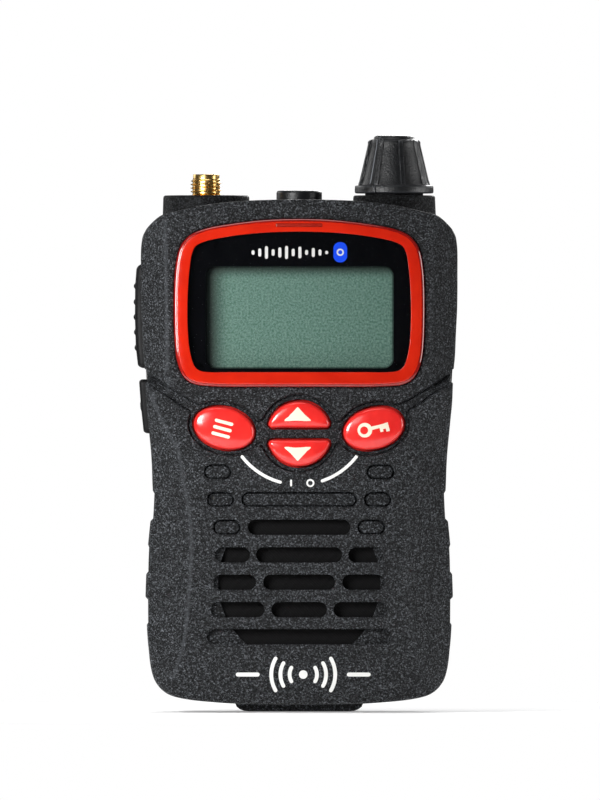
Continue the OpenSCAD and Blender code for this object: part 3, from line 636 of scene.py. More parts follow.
def base_y(p, grow=0.0):
    """Depth of the bevelled front before details."""
    ax, z = np.abs(p[:, 0]), p[:, 1]
    s = np.interp(z, side_z, side_x)
    cu = np.interp(z, up_z, up_x)
    cl = np.interp(z, lo_curve[:, 0], lo_curve[:, 1])
    cl = np.minimum(cl, s + 1.5)
    deep = YS - YF
    yu = YF + deep * soft(ax - cu, 0.3) / np.maximum(s - cu, 2.0)
    yl = YF + deep * soft(ax - cl, 0.7) / np.maximum(s - cl, 4.2)
    t = above(ax, z)
    t = t * t * (3 - 2 * t)
    y = yl + (yu - yl) * t
    # the face turns back a little towards the bottom edge
    y = y + 0.045 * np.maximum(0, 6.5 - z) ** 2
    return np.minimum(y, YS + 2.2)


def seg_sd(p, poly):
    poly = np.asarray(poly, float)
    d = poly_dist(p, poly)
    return np.where(inside(p, poly), -d, d)


def oval_ring(cx, cz, a, b, tilt, g=0.0, n=96):
    t = np.linspace(0, 2 * math.pi, n, endpoint=False)
    # offset along the true normal
    x, z = a * np.cos(t), b * np.sin(t)
    nx, nz = b * np.cos(t), a * np.sin(t)
    L = np.hypot(nx, nz)
    x, z = x + g * nx / L, z + g * nz / L
    c, s = math.cos(math.radians(tilt)), math.sin(math.radians(tilt))
    return np.stack([cx + x * c - z * s, cz + x * s + z * c], 1)


def half_ring(up, g=0.0, R=6.45, cz=54.85, edge_up=56.0, edge_dn=53.7, r=0.85):
    """Half-round key outline with rounded corners."""
    flat = (edge_up if up else edge_dn) - cz
    flat = abs(flat)
    # corner fillet centres, in a frame where the flat edge is at v = flat and the arc is above
    cv = flat + r
    cu = math.sqrt((R - r) ** 2 - cv ** 2)
    rr = r + g
    a0 = math.atan2(cv, cu)
    pts = []
    for a in np.linspace(-math.pi / 2, a0, 9):
        pts.append((cu + rr * math.cos(a), cv + rr * math.sin(a)))
    for a in np.linspace(a0, math.pi - a0, 49)[1:-1]:
        pts.append(((R + g) * math.cos(a), (R + g) * math.sin(a)))
    for a in np.linspace(math.pi - a0, math.pi * 1.5, 9):
        pts.append((-cu + rr * math.cos(a), cv + rr * math.sin(a)))
    n = 18
    for k in range(1, n):
        pts.append((-cu + 2 * cu * k / n, flat - g))
    pts = np.array(pts)
    if not up:
        pts = pts * (1, -1)
    return ccw(pts + (0, cz))


MENU = dict(cx=-14.8, cz=55.96, a=6.15, b=4.12, tilt=-15)
LOCK = dict(cx=14.7, cz=55.9, a=6.12, b=4.12, tilt=15)
GAP = 0.3


def key_ring(kind, g):
    if kind == "menu":
        return oval_ring(**MENU, g=g)
    if kind == "lock":
        return oval_ring(**LOCK, g=g)
    return half_ring(kind == "up", g)


band_r = [(33, 68.6), (30.0, 67.0), (25.6, 64.15), (21.9, 61.9), (20.2, 61.05), (18.5, 60.2), (18.5, 57), (20.8, 57.2), (21.3, 59.0), (24.3, 60.9), (26.6, 62.6), (30.2, 64.7), (33, 66.2)]


def band_sd(p):
    """Signed distance to the recessed band round the keys; negative inside."""
    q = np.stack([np.abs(p[:, 0]), p[:, 1]], 1)
    d1 = seg_sd(q, band_r)
    o1 = seg_sd(q, oval_ring(14.75, 55.93, 6.14, 4.12, 15, 1.2, 64))
    c = np.hypot(q[:, 0], q[:, 1] - 54.87) - 7.75
    box = np.maximum(np.abs(q[:, 0]) - 10.5, np.abs(q[:, 1] - 55.05) - 1.75)

    def smin(a, b, k):
        h = np.clip(0.5 + 0.5 * (b - a) / k, 0, 1)
        return b + (a - b) * h - k * h * (1 - h)

    return smin(smin(smin(o1, c, 1.6), box, 1.2), d1, 0.7)


def stadium(x0, x1, z, r=1.5, g=0.0):
    pts = []
    for a in np.linspace(-math.pi / 2, math.pi / 2, 15):
        pts.append((x1 - r + (r + g) * math.cos(a), z + (r + g) * math.sin(a)))
    L = x1 - x0 - 2 * r
    n = max(1, int(L / 1.2))
    for k in range(1, n):
        pts.append((x1 - r - L * k / n, z + r + g))
    for a in np.linspace(math.pi / 2, 1.5 * math.pi, 15):
        pts.append((x0 + r + (r + g) * math.cos(a), z + (r + g) * math.sin(a)))
    for k in range(1, n):
        pts.append((x0 + r + L * k / n, z - r - g))
    return np.array(pts)


SLOTS = [(-18.8, -13.3, 47.3), (13.3, 18.8, 47.3), (-18.2, -12.8, 41.85), (12.8, 18.2, 41.85), (-11.4, 11.4, 41.85), (-17, -11.5, 36.4), (11.5, 17, 36.4), (-10.1, 10.1, 36.4),
         (-16.6, -9.7, 30.95), (9.7, 16.6, 30.95), (-8.5, 8.5, 30.95), (-16.9, -8.5, 25.55), (8.5, 16.9, 25.55), (-7.1, 7.1, 25.55), (-17.4, -6.8, 20.15), (6.8, 17.4, 20.15), (-5.5, 5.5, 20.15), (-18.2, 18.2, 14.8)]
GRILLE = (0.0, 25.5, 16.0)
SLOT_Y = YF + 1.0
FIL = 0.2          # soft edge of the slots and key holes

ring_half = [(0, 64.03), (8, 64.04), (16, 64.1), (20.7, 64.6), (22.4, 65.6), (23.25, 66.8), (23.85, 68.2), (24.3, 70), (24.6, 73), (24.75, 77), (24.75, 82), (24.6, 86), (24.35, 88.3), (23.9, 90.6), (23.4, 91.9), (22.65, 93), (21.4, 94.15),
             (18.5, 95.35), (11.2, 96.6), (5.5, 97.15), (0, 97.3)]
glass_half = [(0, 67), (12, 67), (18.0, 67.02), (19.6, 67.3), (20.6, 68.1), (21.2, 69.6), (21.7, 72), (22, 76), (22, 82), (21.6, 87.5), (21.15, 90.3), (20.4, 91.85), (18.6, 92.75), (15.3, 93.5), (10.4, 94.2), (5, 94.6), (0, 94.72)]


def both(half_pts, step):
    h = spline(half_pts, step)
    return np.vstack([h, [(-x, z) for x, z in h[-2:0:-1]]])


RING = both(ring_half, 0.5)
GLASS = both(glass_half, 0.5)


def edge_round(d, r):
    """Drop of a rounded edge of radius r at distance d from the edge."""
    u = np.clip(r - np.where(d < 6e-5, 0, d), 0, r)
    return r - np.sqrt(np.maximum(r * r - u * u, 0))


def stad_sd(p, s, r=1.5):
    cx, hl = (s[0] + s[1]) / 2, (s[1] - s[0]) / 2 - r
    return np.hypot(np.maximum(np.abs(p[:, 0] - cx) - hl, 0), p[:, 1] - s[2]) - r


OPENING = offset_ring(RING, 0.05)
KEYS = ["menu", "up", "down", "lock"]
KEY_HOLE = {k: key_ring(k, GAP) for k in KEYS}


def front_y(p):
    """Depth of the finished front surface."""
    p = np.atleast_2d(np.asarray(p, float))
    y = base_y(p)
    near = (np.abs(p[:, 1] - 56.5) < 12) | ((p[:, 1] > 55) & (p[:, 1] < 70))
    if near.any():
        sd = band_sd(p[near])
        t = np.clip((0.12 - sd) / 0.24, 0, 1)
        y[near] += 0.62 * t * t * (3 - 2 * t)
        y[near] += 0.28 * np.exp(-((sd + 0.22) / 0.13) ** 2)
        # low rib on the bar between the two half-round keys
        q = p[near]
        rib = np.clip(1 - np.abs(q[:, 1] - 54.86) / 0.75, 0, 1) * np.clip((6.6 - np.abs(q[:, 0])) / 1.2, 0, 1)
        y[near] -= 0.22 * rib * rib * (3 - 2 * rib)
    for s in SLOTS:
        m = (np.abs(p[:, 1] - s[2]) < 2.2) & (p[:, 0] > s[0] - 1) & (p[:, 0] < s[1] + 1)
        if m.any():
            y[m] += edge_round(np.maximum(stad_sd(p[m], s), 0), FIL)
    m = (p[:, 1] > 46) & (p[:, 1] < 64) & (np.abs(p[:, 0]) < 23)
    if m.any():
        for k in KEYS:
            y[m] += edge_round(poly_dist(p[m], KEY_HOLE[k]), FIL)
    m = (p[:, 1] > 62.5) & (np.abs(p[:, 0]) < 26.5)
    if m.any():
        y[m] += edge_round(poly_dist(p[m], OPENING), 0.35)
    y += edge_round(poly_dist(p, outline), 0.55)
    return y


def inner_y(p):
    p = np.atleast_2d(np.asarray(p, float))
    q = np.stack([np.abs(p[:, 0]) + 0.7, np.maximum(p[:, 1], 8)], 1)
    return np.minimum(YI + (base_y(q) - YF), -8.6)


def chain_edges(start, n, closed=True):
    return [(start + i, start + (i + 1) % n) for i in range(n if closed else n - 1)]


class Plan:
    """Points and constraint edges for one triangulation."""

    def __init__(self):
        self.p, self.e = [], []

    def ring(self, pts, closed=True):
        k = len(self.p)
        self.p.extend([tuple(q) for q in pts])
        self.e.extend(chain_edges(k, len(pts), closed))

    def fill(self, x0, x1, z0, z1, step, keep, gap):
        pts = []
        row = 0
        z = z0
        while z <= z1:
            off = step / 2 if row % 2 else 0
            pts += [(x, z) for x in np.arange(x0 + off, x1, step)]
            z += step * 0.866
            row += 1
        pts = np.array(pts)
        pts = pts[keep(pts)]
        have = np.array(self.p)
        ok = np.ones(len(pts), bool)
        for i in range(0, len(pts), 400):
            d = np.min(((pts[i:i + 400, None, :] - have[None, :, :]) ** 2).sum(2), axis=1)
            ok[i:i + 400] = d > gap * gap
        self.p.extend([tuple(q) for q in pts[ok]])

    def run(self):
        return triangulate(self.p, self.e)


def split_at_circle(ring, cx, cz, r):
    """Adds the points where a ring crosses a circle."""
    out, n = [], len(ring)
    for i in range(n):
        a, b = np.array(ring[i]), np.array(ring[(i + 1) % n])
        out.append(tuple(a))
        fa, fb = np.hypot(a[0] - cx, a[1] - cz) - r, np.hypot(b[0] - cx, b[1] - cz) - r
        if fa * fb < 0:
            lo, hi = 0.0, 1.0
            for _ in range(40):
                mid = (lo + hi) / 2
                q = a + (b - a) * mid
                f = np.hypot(q[0] - cx, q[1] - cz) - r
                if f * fa > 0:
                    lo = mid
                else:
                    hi = mid
            out.append(tuple(a + (b - a) * lo))
    return np.array(out)


B = Builder()

# --- front surface
plan = Plan()
plan.ring(outline)
for d in (0.06, 0.16, 0.32, 0.55):
    plan.ring(offset_ring(outline, -d))
for d in (0, 0.05, 0.14, 0.35):
    plan.ring(offset_ring(OPENING, d))
for k in KEYS:
    for d in (0, 0.03, 0.09, FIL):
        plan.ring(key_ring(k, GAP + d))
slot_rings = []
for s in SLOTS:
    open_slot = s[2] < 38 and not (s[2] > 36 and abs(s[0] + s[1]) > 1)
    ring = stadium(*s)
    if open_slot:
        ring = split_at_circle(ring, *GRILLE)
    slot_rings.append((s, ring, open_slot))
    plan.ring(ring)
    for d in (0.03, 0.09, FIL):
        plan.ring(stadium(*s, g=d))
for level in (-0.42, -0.3, -0.22, -0.12, -0.04, 0.04, 0.12):
    cp, cs = contour(band_sd, -29.2, 29.2, 45, 68, 0.3, level)
    keep = {}
    for a, b in cs:
        if abs(cp[a][0]) < 29.0 and abs(cp[b][0]) < 29.0:
            for i in (a, b):
                if i not in keep:
                    keep[i] = len(plan.p)
                    plan.p.append(tuple(cp[i]))
            plan.e.append((keep[a], keep[b]))
for sgn in (1, -1):
    for d in (-0.6, -0.25, -0.08, 0.08, 0.25, 0.6, 1.3):
        zz = np.arange(67.9, 96.9, 0.8)
        plan.ring([(sgn * (np.interp(z, up_z, up_x) + d), z) for z in zz], False)
        zz = np.arange(7.5, 62.0, 0.7)
        plan.ring([(sgn * (np.interp(z, lo_curve[:, 0], lo_curve[:, 1]) + d), z) for z in zz if np.interp(z, lo_curve[:, 0], lo_curve[:, 1]) + d < np.interp(z, side_z, side_x) - 1.3], False)
plan.fill(-31.5, 31.5, 1.5, 101, 1.25, lambda q: inside(q, outline), 0.4)
P, T = plan.run()
c = P[T].mean(axis=1)
keep = inside(c, outline) & ~inside(c, OPENING)
for k in KEYS:
    keep &= ~inside(c, KEY_HOLE[k])
for s in SLOTS:
    keep &= ~(stad_sd(c, s) < -1e-3)
Y = front_y(P)
B.add([(x, y, z) for (x, z), y in zip(P, Y)], T[keep])


def wall_down(ring, tops, bottoms):
    n = len(ring)
    rows = [[(ring[i][0], tops[i], ring[i][1]) for i in range(n)], [(ring[i][0], bottoms[i], ring[i][1]) for i in range(n)]]
    B.quads(rows)


inner_holes = []   # rings that the inner skin leaves open
for ring in [OPENING] + [KEY_HOLE[k] for k in KEYS]:
    wall_down(ring, front_y(ring), inner_y(ring))
    inner_holes.append(ring)
MIC = np.array([(-17.1 + 0.38 * math.cos(a), 42.2 + 0.38 * math.sin(a)) for a in np.linspace(0, 2 * math.pi, 16, endpoint=False)])
inner_open = []    # slot rings open inside the grille circle
for s, ring, open_slot in slot_rings:
    top = front_y(ring)
    n = len(ring)
    r_mid = np.hypot(*(((ring + np.roll(ring, -1, axis=0)) / 2) - GRILLE[:2]).T)
    open_edge = (r_mid < GRILLE[2]) if open_slot else np.zeros(n, bool)
    # wall to the blind floor, all round
    B.quads([[(ring[i][0], top[i], ring[i][1]) for i in range(n)], [(ring[i][0], SLOT_Y, ring[i][1]) for i in range(n)]])
    yi = inner_y(ring)
    for i in range(n):
        if open_edge[i]:
            j = (i + 1) % n
            B.add([(ring[i][0], SLOT_Y, ring[i][1]), (ring[j][0], SLOT_Y, ring[j][1]), (ring[j][0], yi[j], ring[j][1]), (ring[i][0], yi[i], ring[i][1])], [(0, 1, 2, 3)])
    arcs = []
    if open_slot:
        on = [i for i in range(n) if abs(np.hypot(ring[i][0] - GRILLE[0], ring[i][1] - GRILLE[1]) - GRILLE[2]) < 1e-6]
        for side in (-1, 1):
            pair = [i for i in on if (ring[i][0] > 0) == (side > 0)]
            if len(pair) == 2:
                a1 = math.atan2(ring[pair[0]][1] - GRILLE[1], ring[pair[0]][0] - GRILLE[0])
                a2 = math.atan2(ring[pair[1]][1] - GRILLE[1], ring[pair[1]][0] - GRILLE[0])
                d = (a2 - a1 + math.pi) % (2 * math.pi) - math.pi
                arc = [tuple(ring[pair[0]])] + [(GRILLE[0] + GRILLE[2] * math.cos(a1 + d * k / 7), GRILLE[1] + GRILLE[2] * math.sin(a1 + d * k / 7)) for k in range(1, 7)] + [tuple(ring[pair[1]])]
                arcs.append(np.array(arc))
    for arc in arcs:
        ya = inner_y(arc)
        B.quads([[(q[0], SLOT_Y, q[1]) for q in arc], [(q[0], y, q[1]) for q, y in zip(arc, ya)]], closed=False)
    if not open_edge.all():
        fp = Plan()
        fp.ring(ring)
        if not open_slot:
            for g in (-0.2, -0.3, -0.42):
                fp.ring(stadium(*s, g=g))
        for arc in arcs:
            k = len(fp.p)
            fp.p.extend([tuple(q) for q in arc])
            fp.e.extend(chain_edges(k, len(arc), False))
        mic = s[0] == -18.2 and s[2] > 40
        if mic:
            fp.ring(MIC)
            fp.ring(np.array([(-17.1 + 0.68 * math.cos(a), 42.2 + 0.68 * math.sin(a)) for a in np.linspace(0, 2 * math.pi, 16, endpoint=False)]))
        fP, fT = fp.run()
        fc = fP[fT].mean(axis=1)
        ok = inside(fc, ring)
        if open_slot:
            ok &= np.hypot(fc[:, 0] - GRILLE[0], fc[:, 1] - GRILLE[1]) > GRILLE[2] - 0.02
        if mic:
            ok &= ~inside(fc, MIC)
            wall_down(MIC, [SLOT_Y] * len(MIC), inner_y(MIC))
            inner_holes.append(MIC)
        rise = 0.0
        if not open_slot:
            t = np.clip((-stad_sd(fP, s) - 0.2) / 0.22, 0, 1)
            rise = 0.5 * t * t * (3 - 2 * t)
            if mic:
                rise = rise * np.clip((np.hypot(fP[:, 0] - MIC[:, 0].mean(), fP[:, 1] - MIC[:, 1].mean()) - 0.39) / 0.3, 0, 1)
        B.add([(q[0], SLOT_Y - h, q[1]) for q, h in zip(fP, np.zeros(len(fP)) + rise)], fT[ok])
    if open_slot:
        inner_open.append((s, ring, open_edge, arcs))

# --- inner skin
inner = offset_ring(plain, -1.8)
inner = inner[np.array([True] + [np.linalg.norm(inner[i] - inner[i - 1]) > 0.15 for i in range(1, len(inner))])]
ins = []
for i in range(len(inner)):
    a, b = inner[i], inner[(i + 1) % len(inner)]
    ins.append(a)
    if (a[1] - 86.3) * (b[1] - 86.3) < 0:
        t = (86.3 - a[1]) / (b[1] - a[1])
        ins.append(a + (b - a) * t)
inner = np.array(ins)
plan = Plan()
plan.ring(inner)
for ring in inner_holes:
    plan.ring(ring)
for s, ring, open_edge, arcs in inner_open:
    k = len(plan.p)
    n = len(ring)
    plan.p.extend([tuple(q) for q in ring])
    plan.e.extend([(k + i, k + (i + 1) % n) for i in range(n) if open_edge[i]])
    used = set()
    for i in range(n):
        if open_edge[i]:
            used |= {i, (i + 1) % n}
    for arc in arcs:
        k = len(plan.p)
        plan.p.extend([tuple(q) for q in arc])
        plan.e.extend(chain_edges(k, len(arc), False))
plan.fill(-30, 30, 4, 98, 2.5, lambda q: inside(q, inner), 0.8)
P, T = plan.run()
c = P[T].mean(axis=1)
keep = inside(c, inner)
for ring in inner_holes:
    keep &= ~inside(c, ring)
for s, ring, open_edge, arcs in inner_open:
    keep &= ~(inside(c, ring) & (np.hypot(c[:, 0] - GRILLE[0], c[:, 1] - GRILLE[1]) < GRILLE[2] - 0.02))
B.add([(x, y, z) for (x, z), y in zip(P, inner_y(P))], T[keep][:, ::-1])

YB, YH, ZH = 2.0, 16.0, 86.3
iy = inner_y(inner)
B.quads([[(q[0], y, q[1]) for q, y in zip(inner, iy)], [(q[0], YB, q[1]) for q in inner]])

# --- side walls, top and hood: a strip along the outline, S round it and Y back
seg = np.linalg.norm(np.roll(outline, -1, axis=0) - outline, axis=1)
S = np.concatenate([[0], np.cumsum(seg)])
loop = np.vstack([outline, outline[:1]])
tang = np.roll(outline, -1, axis=0) - np.roll(outline, 1, axis=0)
norm = np.stack([tang[:, 1], -tang[:, 0]], 1)
norm /= np.linalg.norm(norm, axis=1, keepdims=True)
norm = np.vstack([norm, norm[:1]])
yfr = front_y(loop)
nh = len(half) - 1
s_of_z = {1: (half[:, 1], S[:nh + 1]), -1: (outline[nh:, 1][::-1], S[nh:-1][::-1])}


def s_at(side, z):
    zz, ss = s_of_z[side]
    return np.interp(z, zz, ss)


def rounded_rect(z0, z1, y0, y1, r, g=0.0, n=7):
    pts = []
    for cz, cy, a0 in ((z1 - r, y1 - r, 0), (z0 + r, y1 - r, 90), (z0 + r, y0 + r, 180), (z1 - r, y0 + r, 270)):
        for a in np.linspace(a0, a0 + 90, n):
            pts.append((cz + (r + g) * math.cos(math.radians(a)), cy + (r + g) * math.sin(math.radians(a))))
    return resample(pts, 1.4, True)


SIDE_HOLES = [(-1, (67.5, 88.7, -8.3, 0.5, 1.2), -29.75), (-1, (54.6, 65.9, -7.0, -0.7, 1.0), -28.9), (1, (67.7, 84.3, -7.8, 0.9, 1.0), 29.6)]
s_split = [S[split], S[len(outline) - split]]


def rect_sd(z, y, r):
    z0, z1, y0, y1, rad = r
    qz = np.abs(z - (z0 + z1) / 2) - (z1 - z0) / 2 + rad
    qy = np.abs(y - (y0 + y1) / 2) - (y1 - y0) / 2 + rad
    return np.hypot(np.maximum(qz, 0), np.maximum(qy, 0)) + np.minimum(np.maximum(qz, qy), 0) - rad


RB = 0.9   # rounding of the hood's rear edge


def strip_point(sv, yv):
    x = np.interp(sv, S, loop[:, 0])
    z = np.interp(sv, S, loop[:, 1])
    nx = np.interp(sv, S, norm[:, 0])
    nz = np.interp(sv, S, norm[:, 1])
    inset = np.where(yv > YH - RB, RB - np.sqrt(np.maximum(RB ** 2 - (yv - YH + RB) ** 2, 0)), 0)
    for side, rect, floor in SIDE_HOLES:
        m = (x * side > 20)
        d = rect_sd(z, yv, rect)
        inset = inset + np.where(m, edge_round(np.maximum(d, 0), 0.25), 0)
    return np.stack([x - nx * inset, yv, z - nz * inset], 1)


rear_rows = [YH - RB, YH - RB * 0.62, YH - RB * 0.3, YH - RB * 0.08, YH]
plan = Plan()
m = len(loop)
ks = len(plan.p)
plan.p.extend([(S[i], yfr[i]) for i in range(m)])
plan.e.extend([(ks + i, ks + i + 1) for i in range(m - 1)])
hood = [i for i in range(m) if s_split[0] - 1e-6 <= S[i] <= s_split[1] + 1e-6]
kb = len(plan.p)
plan.p.extend([(S[i], YB) for i in range(m)])
plan.e.extend([(kb + i, kb + i + 1) for i in range(m - 1)])
for i in range(m):
    plan.e.append((ks + i, kb + i))
prev = [kb + i for i in hood]
for y in rear_rows:
    k = len(plan.p)
    plan.p.extend([(S[i], y) for i in hood])
    plan.e.extend([(k + j, k + j + 1) for j in range(len(hood) - 1)])
    for j in range(len(hood)):
        plan.e.append((prev[j], k + j))
    prev = [k + j for j in range(len(hood))]
for side, rect, floor in SIDE_HOLES:
    for g in (0, 0.04, 0.12, 0.25):
        rr = rounded_rect(*rect, g=g)
        plan.ring([(s_at(side, q[0]), q[1]) for q in rr])
P, T = plan.run()
c = P[T].mean(axis=1)
poly = [(S[i], yfr[i]) for i in range(m)] + [(S[-1], YB)] + [(s_split[1], YB), (s_split[1], YH), (s_split[0], YH), (s_split[0], YB)] + [(0, YB)]
keep = inside(c, np.array(poly))
cz = np.interp(c[:, 0], S, loop[:, 1])
cx = np.interp(c[:, 0], S, loop[:, 0])
for side, rect, floor in SIDE_HOLES:
    rr = rounded_rect(*rect)
    keep &= ~((cx * side > 20) & inside(c, np.array([(s_at(side, q[0]), q[1]) for q in rr])))
V3 = strip_point(P[:, 0], P[:, 1])
B.add(V3, T[keep])


def border_loops(tris):
    """Ordered loops of the edges that only one triangle uses."""
    count = {}
    for t in tris:
        for i in range(3):
            a, b = int(t[i]), int(t[(i + 1) % 3])
            key = (min(a, b), max(a, b))
            count[key] = count.get(key, 0) + 1
    near = {}
    for (a, b), n in count.items():
        if n == 1:
            near.setdefault(a, []).append(b)
            near.setdefault(b, []).append(a)
    loops, seen = [], set()
    for s0 in near:
        if s0 in seen:
            continue
        order, last = [s0], None
        seen.add(s0)
        while True:
            go = [q for q in near[order[-1]] if q != last and q not in seen]
            if not go:
                break
            last = order[-1]
            order.append(go[0])
            seen.add(go[0])
        loops.append(order)
    return loops


# pockets for the side keys and the cover
for order in border_loops(T[keep]):
    top = V3[order]
    if len(order) > 250:
        continue
    mid = top.mean(axis=0)
    floor = [f for sd, r, f in SIDE_HOLES if sd * mid[0] > 0 and r[0] < mid[2] < r[1]][0]
    bot = [(floor, q[1], q[2]) for q in top]
    B.quads([top, bot])
    B.add(bot, [tuple(range(len(bot)))])

# rear rim of the lower case and the front of the solid hood, both at y = 2
plan = Plan()
lowpart = [tuple(loop[i]) for i in range(m) if S[i] <= s_split[0] + 1e-6]
lowleft = [tuple(loop[i]) for i in range(m - 1) if S[i] >= s_split[1] - 1e-6]
plan.ring(lowpart, False)
plan.ring(lowleft + [tuple(loop[0])], False)
plan.ring(inner)
crossx = sorted([q[0] for q in inner if abs(q[1] - ZH) < 1e-9])
k = len(plan.p)
plan.p.extend([(-W, ZH), (crossx[0], ZH), (crossx[-1], ZH), (W, ZH)])
plan.e.extend([(k, k + 1), (k + 1, k + 2), (k + 2, k + 3)])
P, T = plan.run()
c = P[T].mean(axis=1)
ii = inside(c, inner)
keep = (~ii & inside(c, outline) & (c[:, 1] < ZH)) | (ii & (c[:, 1] > ZH))
B.add([(x, YB, z) for x, z in P], T[keep])
# rear face of the hood and its underside
last_row = strip_point(np.array([S[i] for i in hood]), np.full(len(hood), YH))
k = len(B.v)
B.v.extend([tuple(q) for q in last_row])
B.f.append(tuple(range(k, k + len(last_row))))
right = strip_point(np.full(len(rear_rows), s_split[0]), np.array(rear_rows))
left = strip_point(np.full(len(rear_rows), s_split[1]), np.array(rear_rows))
under = [(-W, YB, ZH), (crossx[0], YB, ZH), (crossx[-1], YB, ZH), (W, YB, ZH)] + [tuple(q) for q in right] + [tuple(q) for q in left[::-1]]
k = len(B.v)
B.v.extend(under)
B.f.append(tuple(range(k, k + len(under))))


def lathe(b, cx, cy, prof, n=96, closed=True):
    """prof: (radius, z) points; closed loop of profile if closed."""
    rows = []
    pts = list(prof) + ([prof[0]] if closed else [])
    for r, z in pts:
        if r < 1e-6:
            rows.append([(cx, cy, z)] * n)
        else:
            rows.append([(cx + r * math.cos(2 * math.pi * i / n), cy + r * math.sin(2 * math.pi * i / n), z) for i in range(n)])
    b.quads(rows)


def arc_pts(cr, cz, r, a0, a1, n=5):
    return [(cr + r * math.cos(math.radians(a)), cz + r * math.sin(math.radians(a))) for a in np.linspace(a0, a1, n)]


foot_prof = [(-12.6, 2.6), (-12.6, 1.5), (-12.35, 0.9), (-11.7, 0.4), (-10.8, 0.08), (-9.9, 0.0), (9.9, 0.0), (10.8, 0.08), (11.7, 0.4), (12.35, 0.9), (12.6, 1.5), (12.6, 2.6)]
rows = []
for y, g in ((-9.5, 0.45), (-9.37, 0.13), (-9.05, 0.0), (2.0, 0.0)):
    rows.append([(x * (1 - g / 12.6), y, min(z + g, 2.6)) for x, z in foot_prof])
B.quads(rows)
for r_, f in ((rows[0], 1), (rows[-1], -1)):
    k = len(B.v)
    B.v.extend(r_)
    B.f.append(tuple(range(k, k + len(r_)))[::f])
case = B.obj("front_case_shell", "case", "housing", "case_plastic", ["front_case"], angle=30)
# painted highlight along the crease between the front face and the side facets, stored in the ridge attribute: full on
# the left, a quarter on the right
_co = np.zeros(len(case.data.vertices) * 3)
case.data.vertices.foreach_get("co", _co)
_co = _co.reshape(-1, 3) / MM
_ax, _z = np.abs(_co[:, 0]), _co[:, 2]
_up = np.interp(_z, up_z, up_x)
_lo = np.interp(_z, lo_curve[:, 0], lo_curve[:, 1])
_d = np.where(above(_ax, _z) > 0.5, np.abs(_ax - _up), np.abs(_ax - _lo))
_crease_highlight = np.clip(1.15 - _d / 0.5, 0, 1) * (_co[:, 1] < YF + 1.2) * (_z > 6) * (_z < 97) * np.where(_co[:, 0] < 0, 1.0, 0.25)
case.data.attributes.new("ridge", "FLOAT", "POINT").data.foreach_set("value", _crease_highlight.astype(np.float32))


BB = Builder()
lathe(BB, -18.4, 2, [(3.2, 97.2), (8.65, 97.2), (8.52, 101.5)] + arc_pts(8.05, 101.55, 0.45, 0, 90) + [(3.7, 102.0)] + arc_pts(3.5, 101.8, 0.2, 90, 180, 3) + [(3.2, 101.5)])
lathe(BB, 18.8, 2, [(3.6, 97.2), (8.3, 97.2), (8.1, 101.6)] + arc_pts(7.7, 101.62, 0.38, 0, 90) + [(3.6, 102.0)])
lathe(BB, 18.8, 2, [(5.28, 101.8), (5.75, 101.8), (5.75, 102.7), (5.28, 102.7)])
BB.obj("top_bosses", "boss", "housing", "case_plastic", angle=30)

# ------------------------------------------------------------------ flat pieces that follow a surface


def slab(name, rings, yfun, mat, body, slot, proud=0.035, under=0.05, step=0.6, replaces=(), holes=()):
    """A thin closed piece over a surface: outer rings, holes and a depth function."""
    b = Builder()
    pl = Plan()
    for r in list(rings) + list(holes):
        pl.ring(r)
    allp = np.vstack([np.asarray(r) for r in rings])
    pl.fill(allp[:, 0].min() + min(step, 0.6) * 0.43, allp[:, 0].max(), allp[:, 1].min() + min(step, 0.6) * 0.47, allp[:, 1].max(), step, lambda q: np.any([inside(q, r) for r in rings], axis=0), step * 0.45)
    P, T = pl.run()
    c = P[T].mean(axis=1)
    keep = np.any([inside(c, r) for r in rings], axis=0)
    for h in holes:
        keep &= ~inside(c, h)
    y = yfun(P)
    b.add([(p[0], q - proud, p[1]) for p, q in zip(P, y)], T[keep])
    b.add([(p[0], q + under, p[1]) for p, q in zip(P, y)], T[keep][:, ::-1])
    for r in list(rings) + list(holes):
        yr = yfun(np.asarray(r))
        b.quads([[(p[0], q - proud, p[1]) for p, q in zip(r, yr)], [(p[0], q + under, p[1]) for p, q in zip(r, yr)]])
    return b.obj(name, mat, body, slot, replaces, angle=40)


def capsule(x0, z0, x1, z1, r, n=8):
    """Outline of a thick line with round ends."""
    a = math.atan2(z1 - z0, x1 - x0)
    pts = [(x1 + r * math.cos(a + t), z1 + r * math.sin(a + t)) for t in np.linspace(-math.pi / 2, math.pi / 2, n)]
    pts += [(x0 + r * math.cos(a + t), z0 + r * math.sin(a + t)) for t in np.linspace(math.pi / 2, 1.5 * math.pi, n)]
    return np.array(pts)


def arc_band(cx, cz, R, w, a0, a1, n=24, cap=6):
    """Outline of a thick circular arc with round ends, angles in degrees."""
    a = np.radians(np.linspace(a0, a1, n))
    out = [(cx + (R + w / 2) * math.cos(t), cz + (R + w / 2) * math.sin(t)) for t in a]
    ex, ez = cx + R * math.cos(a[-1]), cz + R * math.sin(a[-1])
    out += [(ex + w / 2 * math.cos(a[-1] + t), ez + w / 2 * math.sin(a[-1] + t)) for t in np.linspace(0, math.pi, cap + 1)[1:-1]]
    out += [(cx + (R - w / 2) * math.cos(t), cz + (R - w / 2) * math.sin(t)) for t in a[::-1]]
    ex, ez = cx + R * math.cos(a[0]), cz + R * math.sin(a[0])
    out += [(ex + w / 2 * math.cos(a[0] + math.pi + t), ez + w / 2 * math.sin(a[0] + math.pi + t)) for t in np.linspace(0, math.pi, cap + 1)[1:-1]]
    return np.array(out)


def circle(cx, cz, r, n=40):
    return np.array([(cx + r * math.cos(t), cz + r * math.sin(t)) for t in np.linspace(0, 2 * math.pi, n, endpoint=False)])


